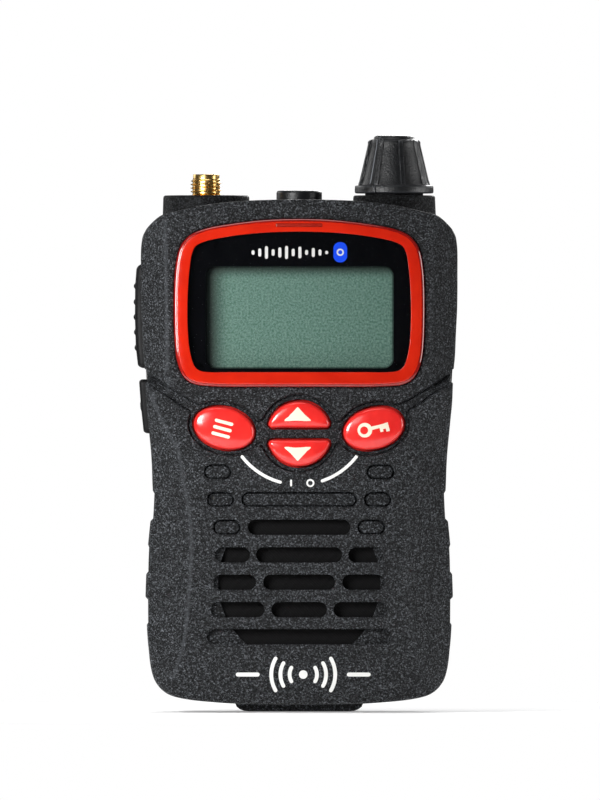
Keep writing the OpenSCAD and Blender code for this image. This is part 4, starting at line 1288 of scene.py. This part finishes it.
def poly_round(pts, r, n=4):
    """A polygon with rounded corners."""
    pts = ccw(pts)
    out = []
    m = len(pts)
    for i in range(m):
        p, a, b = pts[i], pts[i - 1], pts[(i + 1) % m]
        u, v = (a - p) / np.linalg.norm(a - p), (b - p) / np.linalg.norm(b - p)
        half_a = math.acos(np.clip(u @ v, -1, 1)) / 2
        d = min(r / math.tan(half_a), 0.45 * np.linalg.norm(a - p), 0.45 * np.linalg.norm(b - p))
        p0, p1 = p + u * d, p + v * d
        for t in np.linspace(0, 1, n):
            out.append((1 - t) ** 2 * p0 + 2 * t * (1 - t) * p + t * t * p1)
    return np.array(out)


def turn(pts, cx, cz, deg):
    c, s = math.cos(math.radians(deg)), math.sin(math.radians(deg))
    p = np.asarray(pts, float)
    return np.stack([cx + p[:, 0] * c - p[:, 1] * s, cz + p[:, 0] * s + p[:, 1] * c], 1)


# --- display frame, window mask, light pipe
b = Builder()
prof = [(0.0, -13.0), (0.0, -15.62), (-0.02, -15.76), (-0.07, -15.9), (-0.15, -16.02), (-0.26, -16.12), (-0.38, -16.19), (-0.5, -16.22), (-0.56, -16.215), (-0.6, -16.23), (-0.66, -16.27), (-0.76, -16.3)]
rows = [[(q[0], y, q[1]) for q in offset_ring(RING, d)] for d, y in prof]
b.quads(rows)
PIPE = poly_round([(-4.6, 95.6), (4.6, 95.6), (4.6, 96.34), (-4.6, 96.34)], 0.25, 5)
pl = Plan()
r_out, r_in = offset_ring(RING, -0.76), offset_ring(GLASS, 0.14)
for r in (r_out, r_in, PIPE):
    pl.ring(r)
P, T = pl.run()
c = P[T].mean(axis=1)
keep = inside(c, r_out) & ~inside(c, r_in) & ~inside(c, PIPE)
b.add([(p[0], -16.3, p[1]) for p in P], T[keep])
b.quads([[(q[0], -16.3, q[1]) for q in PIPE], [(q[0], -15.4, q[1]) for q in PIPE]])
b.add([(q[0], -15.4, q[1]) for q in PIPE], [tuple(range(len(PIPE)))])
inner_prof = [(0.14, -16.3), (0.05, -16.27), (0.01, -16.2), (0.0, -16.1), (0.0, -13.0)]
b.quads([[(q[0], y, q[1]) for q in offset_ring(GLASS, d)] for d, y in inner_prof])
pl = Plan()
pl.ring(RING)
pl.ring(GLASS)
P, T = pl.run()
c = P[T].mean(axis=1)
b.add([(p[0], -13.0, p[1]) for p in P], T[inside(c, RING) & ~inside(c, GLASS)])
ring_obj = b.obj("display_frame", "ring", "housing", "bezel_red", ["display_bezel"], angle=28)
ring_obj.data.materials.append(MATS["ring_edge"])
# faces within 0.58 mm of the frame's outer edge take the darker red of the painted shade on the bevel
face_c = np.array([f.center for f in ring_obj.data.polygons]) / MM
d_out = poly_dist(face_c[:, [0, 2]], RING)
for f, d, y in zip(ring_obj.data.polygons, d_out, face_c[:, 1]):
    if d < 0.58 and y < -13.1:
        f.material_index = 1

b = Builder()
rows = [[(q[0], y, q[1]) for q in offset_ring(PIPE, d)] for d, y in ((-0.03, -15.42), (-0.03, -16.1), (-0.08, -16.18), (-0.18, -16.21))]
b.quads(rows)
for row in (rows[0], rows[-1]):
    b.add(row, [tuple(range(len(row)))])
b.obj("status_window", "pipe", "housing", "light_pipe", ["status_light_pipe"], angle=40)


def rounded_box(x0, x1, z0, z1, r, n=9):
    pts = []
    for cx, cz, a0 in ((x1 - r, z0 + r, -90), (x1 - r, z1 - r, 0), (x0 + r, z1 - r, 90), (x0 + r, z0 + r, 180)):
        for a in np.linspace(a0, a0 + 90, n):
            pts.append((cx + r * math.cos(math.radians(a)), cz + r * math.sin(math.radians(a))))
    return np.array(pts)


LCD = resample(rounded_box(-18.5, 18.6, 67.75, 87.9, 1.9), 1.5, True)
b = Builder()
pl = Plan()
mask_out = offset_ring(GLASS, -0.03)
pl.ring(mask_out)
pl.ring(LCD)
P, T = pl.run()
c = P[T].mean(axis=1)
k = inside(c, mask_out) & ~inside(c, LCD)
b.add([(p[0], -14.6, p[1]) for p in P], T[k])
b.add([(p[0], -14.3, p[1]) for p in P], T[k][:, ::-1])
b.quads([[(q[0], y, q[1]) for q in mask_out] for y in (-14.6, -14.3)])
b.quads([[(q[0], y, q[1]) for q in LCD] for y in (-14.6, -14.3)])
b.obj("window_print", "black", "housing", "window_black", ["window_mask"], angle=30)
# dark well between the mask and the panel
b = Builder()
well = offset_ring(LCD, 0.9)
rows = [[(q[0], -14.28, q[1]) for q in LCD], [(q[0], -12.92, q[1]) for q in offset_ring(LCD, -0.25)], [(q[0], -12.92, q[1]) for q in well], [(q[0], -14.28, q[1]) for q in well], [(q[0], -14.28, q[1]) for q in LCD]]
b.quads(rows)
b.obj("display_well", "black", "housing", "window_black", angle=30)

# printed marks under the window: a level pattern and a pill with a ring
marks = []
heights = [0.9, 1.6, 2.5, 1.3, 2.0, 2.6, 1.5, 2.3, 1.0, 1.8, 1.2, 0.7]
for i, h in enumerate(heights):
    x = -9.1 + i * 1.32
    marks.append(capsule(x, 90.6 - h / 2 + 0.3, x, 90.6 + h / 2 - 0.3 + 1e-3, 0.3))
flat = lambda y: (lambda p: np.full(len(p), y))
slab("window_marks", marks, flat(-14.62), "white_print", "housing", "window_black", proud=0.03, under=0.02, step=3)
pill = rounded_box(6.75, 9.45, 88.65, 92.65, 1.25)
slab("window_pill", [pill], flat(-14.62), "blue_print", "housing", "window_black", proud=0.03, under=0.02, step=3)
slab("window_pill_ring", [circle(8.1, 90.65, 0.72)], flat(-14.66), "white_print", "housing", "window_black", proud=0.02, under=0.02, step=3, holes=[circle(8.1, 90.65, 0.42)])

# --- keys
KEY_Y0, KEY_H = -15.05, 1.6


def key_top(kind, p):
    p = np.atleast_2d(np.asarray(p, float))
    ring = key_ring(kind, 0)
    d = poly_dist(p, ring)
    d = np.where(d < 6e-5, 0, d)
    lip = np.sqrt(np.clip(1 - (1 - np.clip(d / 0.75, 0, 1)) ** 2, 0, 1))
    if kind in ("menu", "lock"):
        o = MENU if kind == "menu" else LOCK
        q = turn(p - (o["cx"], o["cz"]), 0, 0, -o["tilt"])
        u = (q[:, 0] / o["a"]) ** 2 + (q[:, 1] / o["b"]) ** 2
        dome = np.clip(1 - u, 0, 1) ** 0.8
    else:
        s = 1 if kind == "up" else -1
        flat_z = 56.0 if kind == "up" else 53.7
        da = np.clip((6.45 - np.hypot(p[:, 0], p[:, 1] - 54.85)) / 4.2, 0, 1)
        df = np.clip((p[:, 1] - flat_z) * s / 2.6, 0, 1)
        g = lambda t: np.sqrt(np.clip(1 - (1 - t) ** 2, 0, 1))
        dome = g(da) * g(df)
    return KEY_Y0 - KEY_H * (0.42 * lip + 0.58 * dome)


KEY_BODY = {"menu": "menu_button", "up": "up_button", "down": "down_button", "lock": "lock_button"}
for kind in KEYS:
    b = Builder()
    pl = Plan()
    ring = key_ring(kind, 0)
    pl.ring(ring)
    for d in (0.02, 0.07, 0.15, 0.26, 0.4, 0.58, 0.8):
        pl.ring(key_ring(kind, -d) if kind in ("menu", "lock") else offset_ring(ring, -d))
    lo, hi = ring.min(axis=0), ring.max(axis=0)
    inner_r = offset_ring(ring, -0.8)
    pl.fill(lo[0], hi[0], lo[1], hi[1], 0.5, lambda q: inside(q, inner_r), 0.3)
    P, T = pl.run()
    c = P[T].mean(axis=1)
    k = inside(c, ring)
    top_y = np.where(poly_dist(P, ring) < 2e-3, KEY_Y0, key_top(kind, P))
    b.add([(p[0], y, p[1]) for p, y in zip(P, top_y)], T[k])
    out = offset_ring(ring, 0.7)
    if kind in ("up", "down"):
        out[:, 1] = np.maximum(out[:, 1], 55.7) if kind == "up" else np.minimum(out[:, 1], 54.0)
    rows = [[(q[0], y, q[1]) for q in ring] for y in (KEY_Y0, -14.2, -13.58)] + [[(q[0], -13.58, q[1]) for q in out], [(q[0], -12.9, q[1]) for q in out]]
    b.quads(rows)
    b.add([(q[0], -12.9, q[1]) for q in out], [tuple(range(len(out)))])
    b.obj("%s_key_cap" % kind, "key", KEY_BODY[kind], "key_red", ["key_" + kind], angle=35)

slab("mark_up", [poly_round([(-3.1, 57.35), (2.5, 57.35), (-0.3, 60.15)], 0.18)], lambda p: key_top("up", p), "cream_print", "up_button", "key_red", 0.02, 0.05, 0.5)
slab("mark_down", [poly_round([(-3.1, 52.25), (2.5, 52.25), (-0.3, 49.45)], 0.18)], lambda p: key_top("down", p), "cream_print", "down_button", "key_red", 0.02, 0.05, 0.5)
bars = [turn(capsule(-1.55, v, 1.55, v, 0.33), -15.15, 55.85, -15) for v in (-1.3, 0.0, 1.3)]
for n_bar, bar in enumerate(bars):
    slab("mark_menu_%d" % n_bar, [bar], lambda p: key_top("menu", p), "cream_print", "menu_button", "key_red", 0.02, 0.05, 0.37)
# thin pads between the back of the radio and the battery pack
for tag, x in (("l", -20.6), ("r", 20.6)):
    slab("pack_pad_%s" % tag, [capsule(x, 8.0, x, 75.5, 0.7)], flat(8.045), "rubber", "housing", "seal_rubber", proud=0.05, under=0.08, step=1.1)
# a plain key pictogram: ring, shaft and two teeth
key_ring_pts = circle(0, 0, 1.45, 36)
shaft = [(1.3, -0.3), (4.7, -0.3), (4.7, -1.35), (4.1, -1.35), (4.1, -0.75), (3.55, -0.75), (3.55, -1.15), (2.95, -1.15), (2.95, -0.3)]
pict = []
for a in np.linspace(14, 346, 34):
    pict.append((1.45 * math.cos(math.radians(a)), 1.45 * math.sin(math.radians(a))))
pict += [(2.9, -0.34), (2.9, -1.2), (3.5, -1.2), (3.5, -0.75), (4.05, -0.75), (4.05, -1.4), (4.75, -1.4), (4.75, 0.34)]
slab("mark_lock", [turn(pict, 12.95, 55.55, 15)], lambda p: key_top("lock", p), "cream_print", "lock_button", "key_red", 0.02, 0.05, 0.5, holes=[turn(circle(-0.15, 0, 0.78, 30), 12.95, 55.55, 15)])

# --- printing on the front
a0, a1 = math.degrees(math.atan2(50.3 - 59.05, -11.25)), math.degrees(math.atan2(45.4 - 59.05, -3.7))
b0_, b1_ = math.degrees(math.atan2(45.4 - 59.05, 4.6)), math.degrees(math.atan2(50.2 - 59.05, 11.5))
slab("front_arcs", [arc_band(0, 59.05, 14.25, 0.62, a0 + 360, a1 + 360), arc_band(0, 59.05, 14.25, 0.62, b0_ + 360, b1_ + 360)], front_y, "white_print", "housing", "case_plastic", 0.025, 0.06, 0.8)
off_ring = circle(2.2, 45.12, 0.8, 28)
slab("front_switch_mark", [capsule(-1.6, 44.65, -1.6, 45.6, 0.2), off_ring], front_y, "white_print", "housing", "case_plastic", 0.025, 0.06, 0.8, holes=[circle(2.2, 45.12, 0.46, 24)])
waves = [circle(0.8, 7.35, 0.85, 30)]
for R in (2.7, 4.5, 6.3):
    waves.append(arc_band(0.8, 7.35, R, 0.75, -30, 30))
    waves.append(arc_band(0.8, 7.35, R, 0.75, 150, 210))
waves += [capsule(-12.1, 7.35, -8.2, 7.35, 0.4), capsule(9.8, 7.35, 13.7, 7.35, 0.4)]
slab("front_wave_mark", waves, front_y, "white_print", "housing", "case_plastic", 0.025, 0.06, 0.8)

# --- speaker cloth, a woven disc
b = Builder()
n_r, n_a = 62, 300
rows = []
for i in range(n_r + 1):
    r = 17.0 * i / n_r
    row = []
    for j in range(n_a):
        t = 2 * math.pi * j / n_a
        x, z = r * math.cos(t), 25.5 + r * math.sin(t)
        u, v = (x + z) / 0.95, (x - z) / 0.95
        h = 0.08 * (math.sin(math.pi * u) ** 2 * (0.5 + 0.5 * math.sin(math.pi * v)) + 0.7 * math.sin(math.pi * v) ** 2 * (0.5 - 0.5 * math.sin(math.pi * u)))
        h *= min(1.0, (17.0 - r) / 1.0)
        row.append((x, -13.56 - h, z))
    rows.append(row)
rows.append([(q[0], -13.42, q[2]) for q in rows[-1]])
rows.append([(0, -13.42, 25.5)] * n_a)
b.quads(rows)
b.obj("speaker_mesh", "cloth", "housing", "cloth", ["speaker_cloth"], angle=60)

# --- knob
KX, KY = 18.8, 2.0
knob_prof = [(102.4, 7.45, 0), (102.47, 7.68, 0), (102.65, 7.8, 0), (103.2, 7.8, 0), (103.7, 7.77, 0), (103.88, 7.68, 0), (103.99, 7.45, 0), (104.02, 7.0, 0.1), (104.06, 6.86, 0.9), (104.2, 6.82, 1)]
for z in np.linspace(105, 112, 8):
    knob_prof.append((z, 7.15 - (z - 104) * 0.24 - 0.38, 1))
knob_prof += [(112.6, 4.86, 0.95), (112.9, 4.72, 0.6), (113.05, 4.5, 0.15), (113.12, 4.15, 0), (113.3, 4.0, 0), (113.55, 3.92, 0), (113.72, 3.75, 0), (113.84, 3.4, 0), (113.9, 2.9, 0), (113.94, 1.9, 0), (113.97, 0.9, 0)]
n_a = 720
rib_at = [math.radians(-90 + 14.5 + 45 * i) for i in range(8)]
pointer = math.radians(-90 - 30.5)
b = Builder()
rows = []
for z, r, w in knob_prof:
    row = []
    for j in range(n_a):
        t = 2 * math.pi * j / n_a
        add = 0.0
        for a in rib_at:
            d = abs((t - a + math.pi) % (2 * math.pi) - math.pi) * r
            k = np.clip((0.47 - d) / 0.13, 0, 1)
            add = max(add, 0.46 * w * k * k * (3 - 2 * k))
        if z < 104.0:
            d = abs((t - pointer + math.pi) % (2 * math.pi) - math.pi) * r
            k = np.clip((0.45 - d) / 0.17, 0, 1)
            add = max(add, 0.22 * k * k * (3 - 2 * k) * (1 if z > 102.5 else 0.3))
        row.append((KX + (r + add) * math.cos(t), KY + (r + add) * math.sin(t), z))
    rows.append(row)
rows.append([(KX, KY, 113.98)] * n_a)
b.quads(rows)
# underside: skirt, clearance for the nut and the shaft bore
under = [rows[0]] + [[(KX + r * math.cos(2 * math.pi * j / n_a), KY + r * math.sin(2 * math.pi * j / n_a), z) for j in range(n_a)] for r, z in ((5.9, 102.4), (5.9, 105.1), (3.0, 105.1), (3.0, 111.5))] + [[(KX, KY, 111.5)] * n_a]
b.quads(under)
b.obj("tuning_knob_grip", "knob", "tuning_knob", "knob_plastic", ["knob"], angle=30)

# --- antenna socket with its thread
JX = -18.4
b = Builder()
n_a = 120
rows = []
PITCH = 0.7056


def thread_r(z, t, z0, z1, major, minor):
    ph = ((z - z0) / PITCH - t / (2 * math.pi)) % 1.0
    tri = 1 - abs(2 * ph - 1)
    v = np.clip((tri - 0.42) / 0.5, 0, 1)
    v = v * v * (3 - 2 * v)
    fade = np.clip((z - z0) / 0.35, 0, 1) * np.clip((z1 - z) / 0.4, 0, 1)
    return minor + (major - minor) * v * fade


def circ(r, z):
    return [(JX + r * math.cos(2 * math.pi * j / n_a), 2 + r * math.sin(2 * math.pi * j / n_a), z) for j in range(n_a)]


rows.append(circ(2.05, 97.0))
rows.append(circ(3.0, 97.0))
rows.append(circ(3.0, 101.9))
rows.append(circ(3.0, 102.02))
for z in np.linspace(102.05, 105.2, 70):
    rows.append([(JX + thread_r(z, 2 * math.pi * j / n_a, 102.05, 105.2, 3.12, 2.72) * math.cos(2 * math.pi * j / n_a), 2 + thread_r(z, 2 * math.pi * j / n_a, 102.05, 105.2, 3.12, 2.72) * math.sin(2 * math.pi * j / n_a), z) for j in range(n_a)])
for r, z in ((2.72, 105.25), (2.6, 105.3), (2.6, 106.05), (2.56, 106.14), (2.48, 106.18), (2.4, 106.18), (2.33, 106.12), (2.3, 106.0), (2.3, 103.42), (2.05, 103.4), (2.05, 97.0)):
    rows.append(circ(r, z))
b.quads(rows)
b.obj("antenna_socket", "gold", "housing", "gold_plate", ["antenna_connector"], angle=35)

# --- top button
b = Builder()
lathe(b, 0, 2, [(0, 97.3), (5.4, 97.3), (5.4, 97.95), (4.5, 98.0), (4.5, 102.4)] + [(4.0 + 0.5 * math.cos(t), 102.45 + 0.5 * math.sin(t)) for t in np.linspace(0.1, math.pi / 2, 7)] + [(3.4, 102.97), (2.8, 102.93), (1.6, 102.86), (0.8, 102.84), (0, 102.83)], 96, closed=False)
b.add([(0, 2, 97.3)], [])
b.obj("top_button_cap", "button", "alert_button", "button_plastic", ["top_button"], angle=32)

# --- side keys and accessory cover: a height over a rounded outline in Z and Y


def cap(name, side, rect, heights, root, mat, body, slot, replaces, step=0.55, rings=(0, 0.03, 0.1, 0.22, 0.4, 0.65), flange=None):
    b = Builder()
    ring = rounded_rect(*rect)
    pl = Plan()
    for d in rings:
        pl.ring(rounded_rect(*rect, g=-d))
    z0, z1, y0, y1, r = rect
    q = rounded_rect(*rect, g=-rings[-1])
    pl.fill(z0, z1, y0, y1, step, lambda p: inside(p, q), step * 0.5)
    P, T = pl.run()
    c = P[T].mean(axis=1)
    k = inside(c, np.array(ring))
    top = lambda p: heights(p[:, 0], p[:, 1], np.where(poly_dist(p, ring) < 6e-5, 0, poly_dist(p, ring)))
    b.add([(side * h, p[1], p[0]) for p, h in zip(P, top(P))], T[k])
    R = np.array(ring)
    rows = [[(side * h, p[1], p[0]) for p, h in zip(R, top(R))], [(side * root, p[1], p[0]) for p in R]]
    if flange:
        C = R.mean(axis=0)
        F = R + (R - C) / np.abs(R - C).max(axis=0) * flange[0]
        rows += [[(side * root, p[1], p[0]) for p in F], [(side * flange[1], p[1], p[0]) for p in F]]
    b.quads(rows)
    last = rows[-1]
    b.add(last, [tuple(range(len(last)))])
    return b.obj(name, mat, body, slot, replaces, angle=35)


def ptt_h(z, y, d):
    base = np.interp(z, [67.8, 68.4, 72, 78, 84, 87.4, 88.4], [31.62, 31.9, 32.32, 32.5, 32.45, 32.2, 31.75])
    base = base - edge_round(d, 0.75) * 1.15 - 0.012 * (y + 3.9) ** 2
    for zc in (71.8, 74.9, 77.9, 80.9, 84.05):
        k = np.clip((0.52 - np.abs(z - zc)) / 0.3, 0, 1) * np.clip((3.1 - np.abs(y + 3.9)) / 0.5, 0, 1)
        base = base + 0.26 * k * k * (3 - 2 * k)
    return base


def mon_h(z, y, d):
    base = np.interp(z, [54.9, 55.3, 60, 65.1, 65.6], [30.6, 30.78, 31.28, 31.66, 31.6])
    base = base - edge_round(d, 0.6) * 1.1 - 0.012 * (y + 3.85) ** 2
    k = np.clip((0.9 - np.hypot(z - 60.3, (y + 3.85))) / 0.35, 0, 1)
    return base + 0.12 * k * k * (3 - 2 * k)


def cover_h(z, y, d):
    base = np.interp(z, [68, 72, 76, 80, 84], [30.55, 30.78, 30.92, 31.02, 31.08]) - edge_round(d, 0.45)
    k = np.clip((2.6 - np.abs(z - 76)) / 0.6, 0, 1) * np.clip((0.45 - np.abs(y + 6.7)) / 0.3, 0, 1)
    g = np.clip(1 - np.abs(d - 1.15) / 0.28, 0, 1)
    g2 = sum(np.clip(1 - np.abs(z - zz) / 0.35, 0, 1) for zz in (73.4, 74.7, 76, 77.3, 78.6)) * np.clip((1.6 - np.abs(y + 3.8)) / 0.4, 0, 1)
    return base + 0.07 * k * k * (3 - 2 * k) - 0.14 * g * g * (3 - 2 * g) + 0.1 * g2


cap("talk_key_cap", -1, (67.8, 88.4, -8.0, 0.2, 1.0), ptt_h, 29.0, "side_key", "talk_button", "side_key_rubber", ["ptt_key"], step=0.32, flange=(0.7, 28.3))
cap("monitor_key_cap", -1, (54.9, 65.6, -6.7, -1.0, 0.9), mon_h, 28.4, "side_key", "monitor_button", "side_key_rubber", ["monitor_key"], step=0.35, flange=(0.6, 27.8))
cap("port_cover_skin", 1, (68.0, 84.0, -7.5, 0.1, 0.8), cover_h, 29.72, "side_key", "port_cover", "cover_rubber", ["jack_cover"], step=0.33)

# ------------------------------------------------------------------ the rest of the CAD nodes: materials and soft edges


def dress(node, mat):
    """Gives a hidden or small CAD node its material."""
    me = NODES[node].data
    me.materials.clear()
    me.materials.append(MATS[mat])


def soften(node, name, mat, body, radius=0.3, angle=28, segs=3, cut=None, floor=None):
    """A copy of a CAD node with its sharp edges rounded."""
    bm = bmesh.new()
    bm.from_mesh(NODES[node].data)
    bmesh.ops.remove_doubles(bm, verts=bm.verts, dist=2e-6)
    bmesh.ops.dissolve_limit(bm, angle_limit=math.radians(2.5), verts=bm.verts, edges=bm.edges, delimit=set())
    if cut:
        cut(bm)
    bmesh.ops.recalc_face_normals(bm, faces=bm.faces)
    edges = [e for e in bm.edges if len(e.link_faces) == 2 and e.calc_face_angle() > math.radians(angle)]
    bmesh.ops.bevel(bm, geom=edges, offset=radius * MM, offset_type="OFFSET", segments=segs, profile=0.5, affect="EDGES", clamp_overlap=True, miter_outer="SHARP", material=-1)
    bmesh.ops.remove_doubles(bm, verts=bm.verts, dist=5e-7)
    bmesh.ops.dissolve_degenerate(bm, edges=bm.edges, dist=5e-7)
    bmesh.ops.triangulate(bm, faces=[f for f in bm.faces if len(f.verts) > 4])
    me = bpy.data.meshes.new(name)
    bm.to_mesh(me)
    bm.free()
    me.materials.clear()
    me.materials.append(MATS[mat])
    o = bpy.data.objects.new(name, me)
    bpy.context.scene.collection.objects.link(o)
    me.shade_smooth()
    me.set_sharp_from_angle(angle=math.radians(26))
    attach(o, body)
    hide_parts(node)
    return o


soften("rear_chassis", "rear_frame", "chassis", "housing", 0.25)
soften("battery_case", "battery_tray", "battery", "battery_pack", 0.3)
soften("battery_cover", "battery_back", "battery", "battery_pack", 0.5)
soften("battery_latch", "pack_latch_foot", "battery", "pack_latch", 0.22)
soften("clip_bracket", "clip_mount", "clip", "battery_pack", 0.3)
soften("belt_clip", "clip_blade", "clip", "clip", 0.45)

# moulded details on the back: finger ribs on the clip and grip bars on the battery


def ridge(name, mat, body, slot, x0, x1, z, y, r, h, tilt=0.0):
    """A low rounded bar across a face that looks towards +Y."""
    b = Builder()
    rows = []
    ring = capsule(x0, z, x1, z, r)
    for g, q in ((0.0, -0.15), (0.0, h * 0.35), (-0.12 * r, h * 0.7), (-0.35 * r, h * 0.93), (-0.7 * r, h)):
        rows.append([(p[0], y + q, p[1]) for p in offset_ring(ring, g)])
    b.quads(rows)
    for rr in (rows[0], rows[-1]):
        b.add(rr, [tuple(range(len(rr)))])
    return b.obj(name, mat, body, slot, angle=50)


for i, z in enumerate((82.2, 83.9, 85.6)):
    ridge("clip_finger_rib_%d" % i, "clip", "clip", "clip_plastic", -6.3, 6.3, z, 25.32 - (z - 82) * 0.02, 0.5, 0.35)
for i, z in enumerate((8.5, 11.0, 13.5, 16.0)):
    for sgn in (-1, 1):
        x = sorted((sgn * 12.5, sgn * 23.5))
        ridge("battery_grip_%d_%s" % (i, "l" if sgn < 0 else "r"), "battery", "battery_pack", "battery_plastic", x[0], x[1], z, 17.7, 0.6, 0.35)

for node, mat in (("case_seal", "rubber"), ("display_window", "glass"), ("lcd_panel", "lcd"), ("lcd_backlight", "white"), ("speaker_basket", "steel"), ("speaker_cone", "cone"), ("microphone", "steel"),
                  ("keypad_mat", "mat_rubber"), ("dome_switches", "steel"), ("control_board", "board"), ("main_board", "board"), ("rf_shield", "steel"), ("antenna_insulator", "white"), ("antenna_contact", "gold"),
                  ("antenna_nut", "steel"), ("encoder_body", "steel"), ("encoder_nut", "screw"), ("encoder_shaft", "steel"), ("top_switch", "rubber"), ("side_switches", "rubber"), ("side_board", "board"), ("jack_block", "rubber"),
                  ("case_screws", "screw"), ("spring_contacts", "gold"), ("battery_cell", "cell"), ("battery_board", "board"), ("battery_contacts", "gold"), ("latch_spring", "spring"), ("clip_screws", "screw"), ("clip_pin", "steel"),
                  ("clip_spring", "spring")):
    dress(node, mat)

# ------------------------------------------------------------------ stage, light, camera

scene = bpy.context.scene
floor_mat = Mat("floor_pale", (0.86, 0.86, 0.86), 0.9, spec=0.1)
floor_mat.b.inputs["Emission Color"].default_value = (1, 1, 1, 1)
floor_mat.b.inputs["Emission Strength"].default_value = 0.3
floor_mat.color(floor_mat.ramp(floor_mat.noise(0.02, 2.0), [(0.3, (0.85, 0.85, 0.85)), (0.7, (0.88, 0.88, 0.88))]))
bm = bmesh.new()
bmesh.ops.create_circle(bm, cap_ends=True, segments=96, radius=0.15)
me = bpy.data.meshes.new("floor")
bm.to_mesh(me)
bm.free()
me.materials.append(floor_mat.m)
floor = bpy.data.objects.new("floor", me)
floor.location = (0, 0, -0.0002)
scene.collection.objects.link(floor)

world = bpy.data.worlds.new("studio")
scene.world = world
world.use_nodes = True
wt = world.node_tree
bg = wt.nodes["Background"]
lp = wt.nodes.new("ShaderNodeLightPath")
mixc = wt.nodes.new("ShaderNodeMix")
mixc.data_type = "RGBA"
wt.links.new(lp.outputs["Is Camera Ray"], mixc.inputs[0])
mixc.inputs[6].default_value = (0.035, 0.035, 0.037, 1)
mixc.inputs[7].default_value = (1, 1, 1, 1)
wt.links.new(mixc.outputs[2], bg.inputs["Color"])


def area(name, at, size, power, aim=(0, 0, 0.055), color=(1, 1, 1), sy=None):
    L = bpy.data.lights.new(name, "AREA")
    L.shape = "RECTANGLE"
    L.size, L.size_y = size, sy or size
    L.energy = power
    L.color = color
    o = bpy.data.objects.new(name, L)
    o.location = at
    o.rotation_euler = (Vector(aim) - Vector(at)).to_track_quat("-Z", "Y").to_euler()
    scene.collection.objects.link(o)
    o.visible_camera = False
    return o


area("key", (-0.23, -0.52, 0.30), 0.17, 0.27)
area("wash", (-0.098, -0.13, 0.093), 0.062, 0.285)
area("fill", (0.5, -0.06, 0.09), 0.3, 1.3)
area("top", (-0.1, -0.05, 0.8), 0.4, 1.3)
area("rim_left", (-0.5, 0.42, 0.3), 0.35, 0.8)
area("rim_right", (0.5, 0.5, 0.4), 0.4, 0.9)
area("back", (0.15, 0.8, 0.45), 0.4, 5.0)

cam_data = bpy.data.cameras.new("camera")
cam_data.sensor_fit = "VERTICAL"
cam_data.sensor_height = 36
cam_data.lens = 1023
cam_data.clip_end = 20
cam = bpy.data.objects.new("camera", cam_data)
cam.location = (0.00016, -4.4995, 0.0615)
cam.rotation_euler = (math.pi / 2, 0, 0)
scene.collection.objects.link(cam)
scene.camera = cam
scene.view_settings.view_transform = "Standard"
scene.view_settings.look = "None"
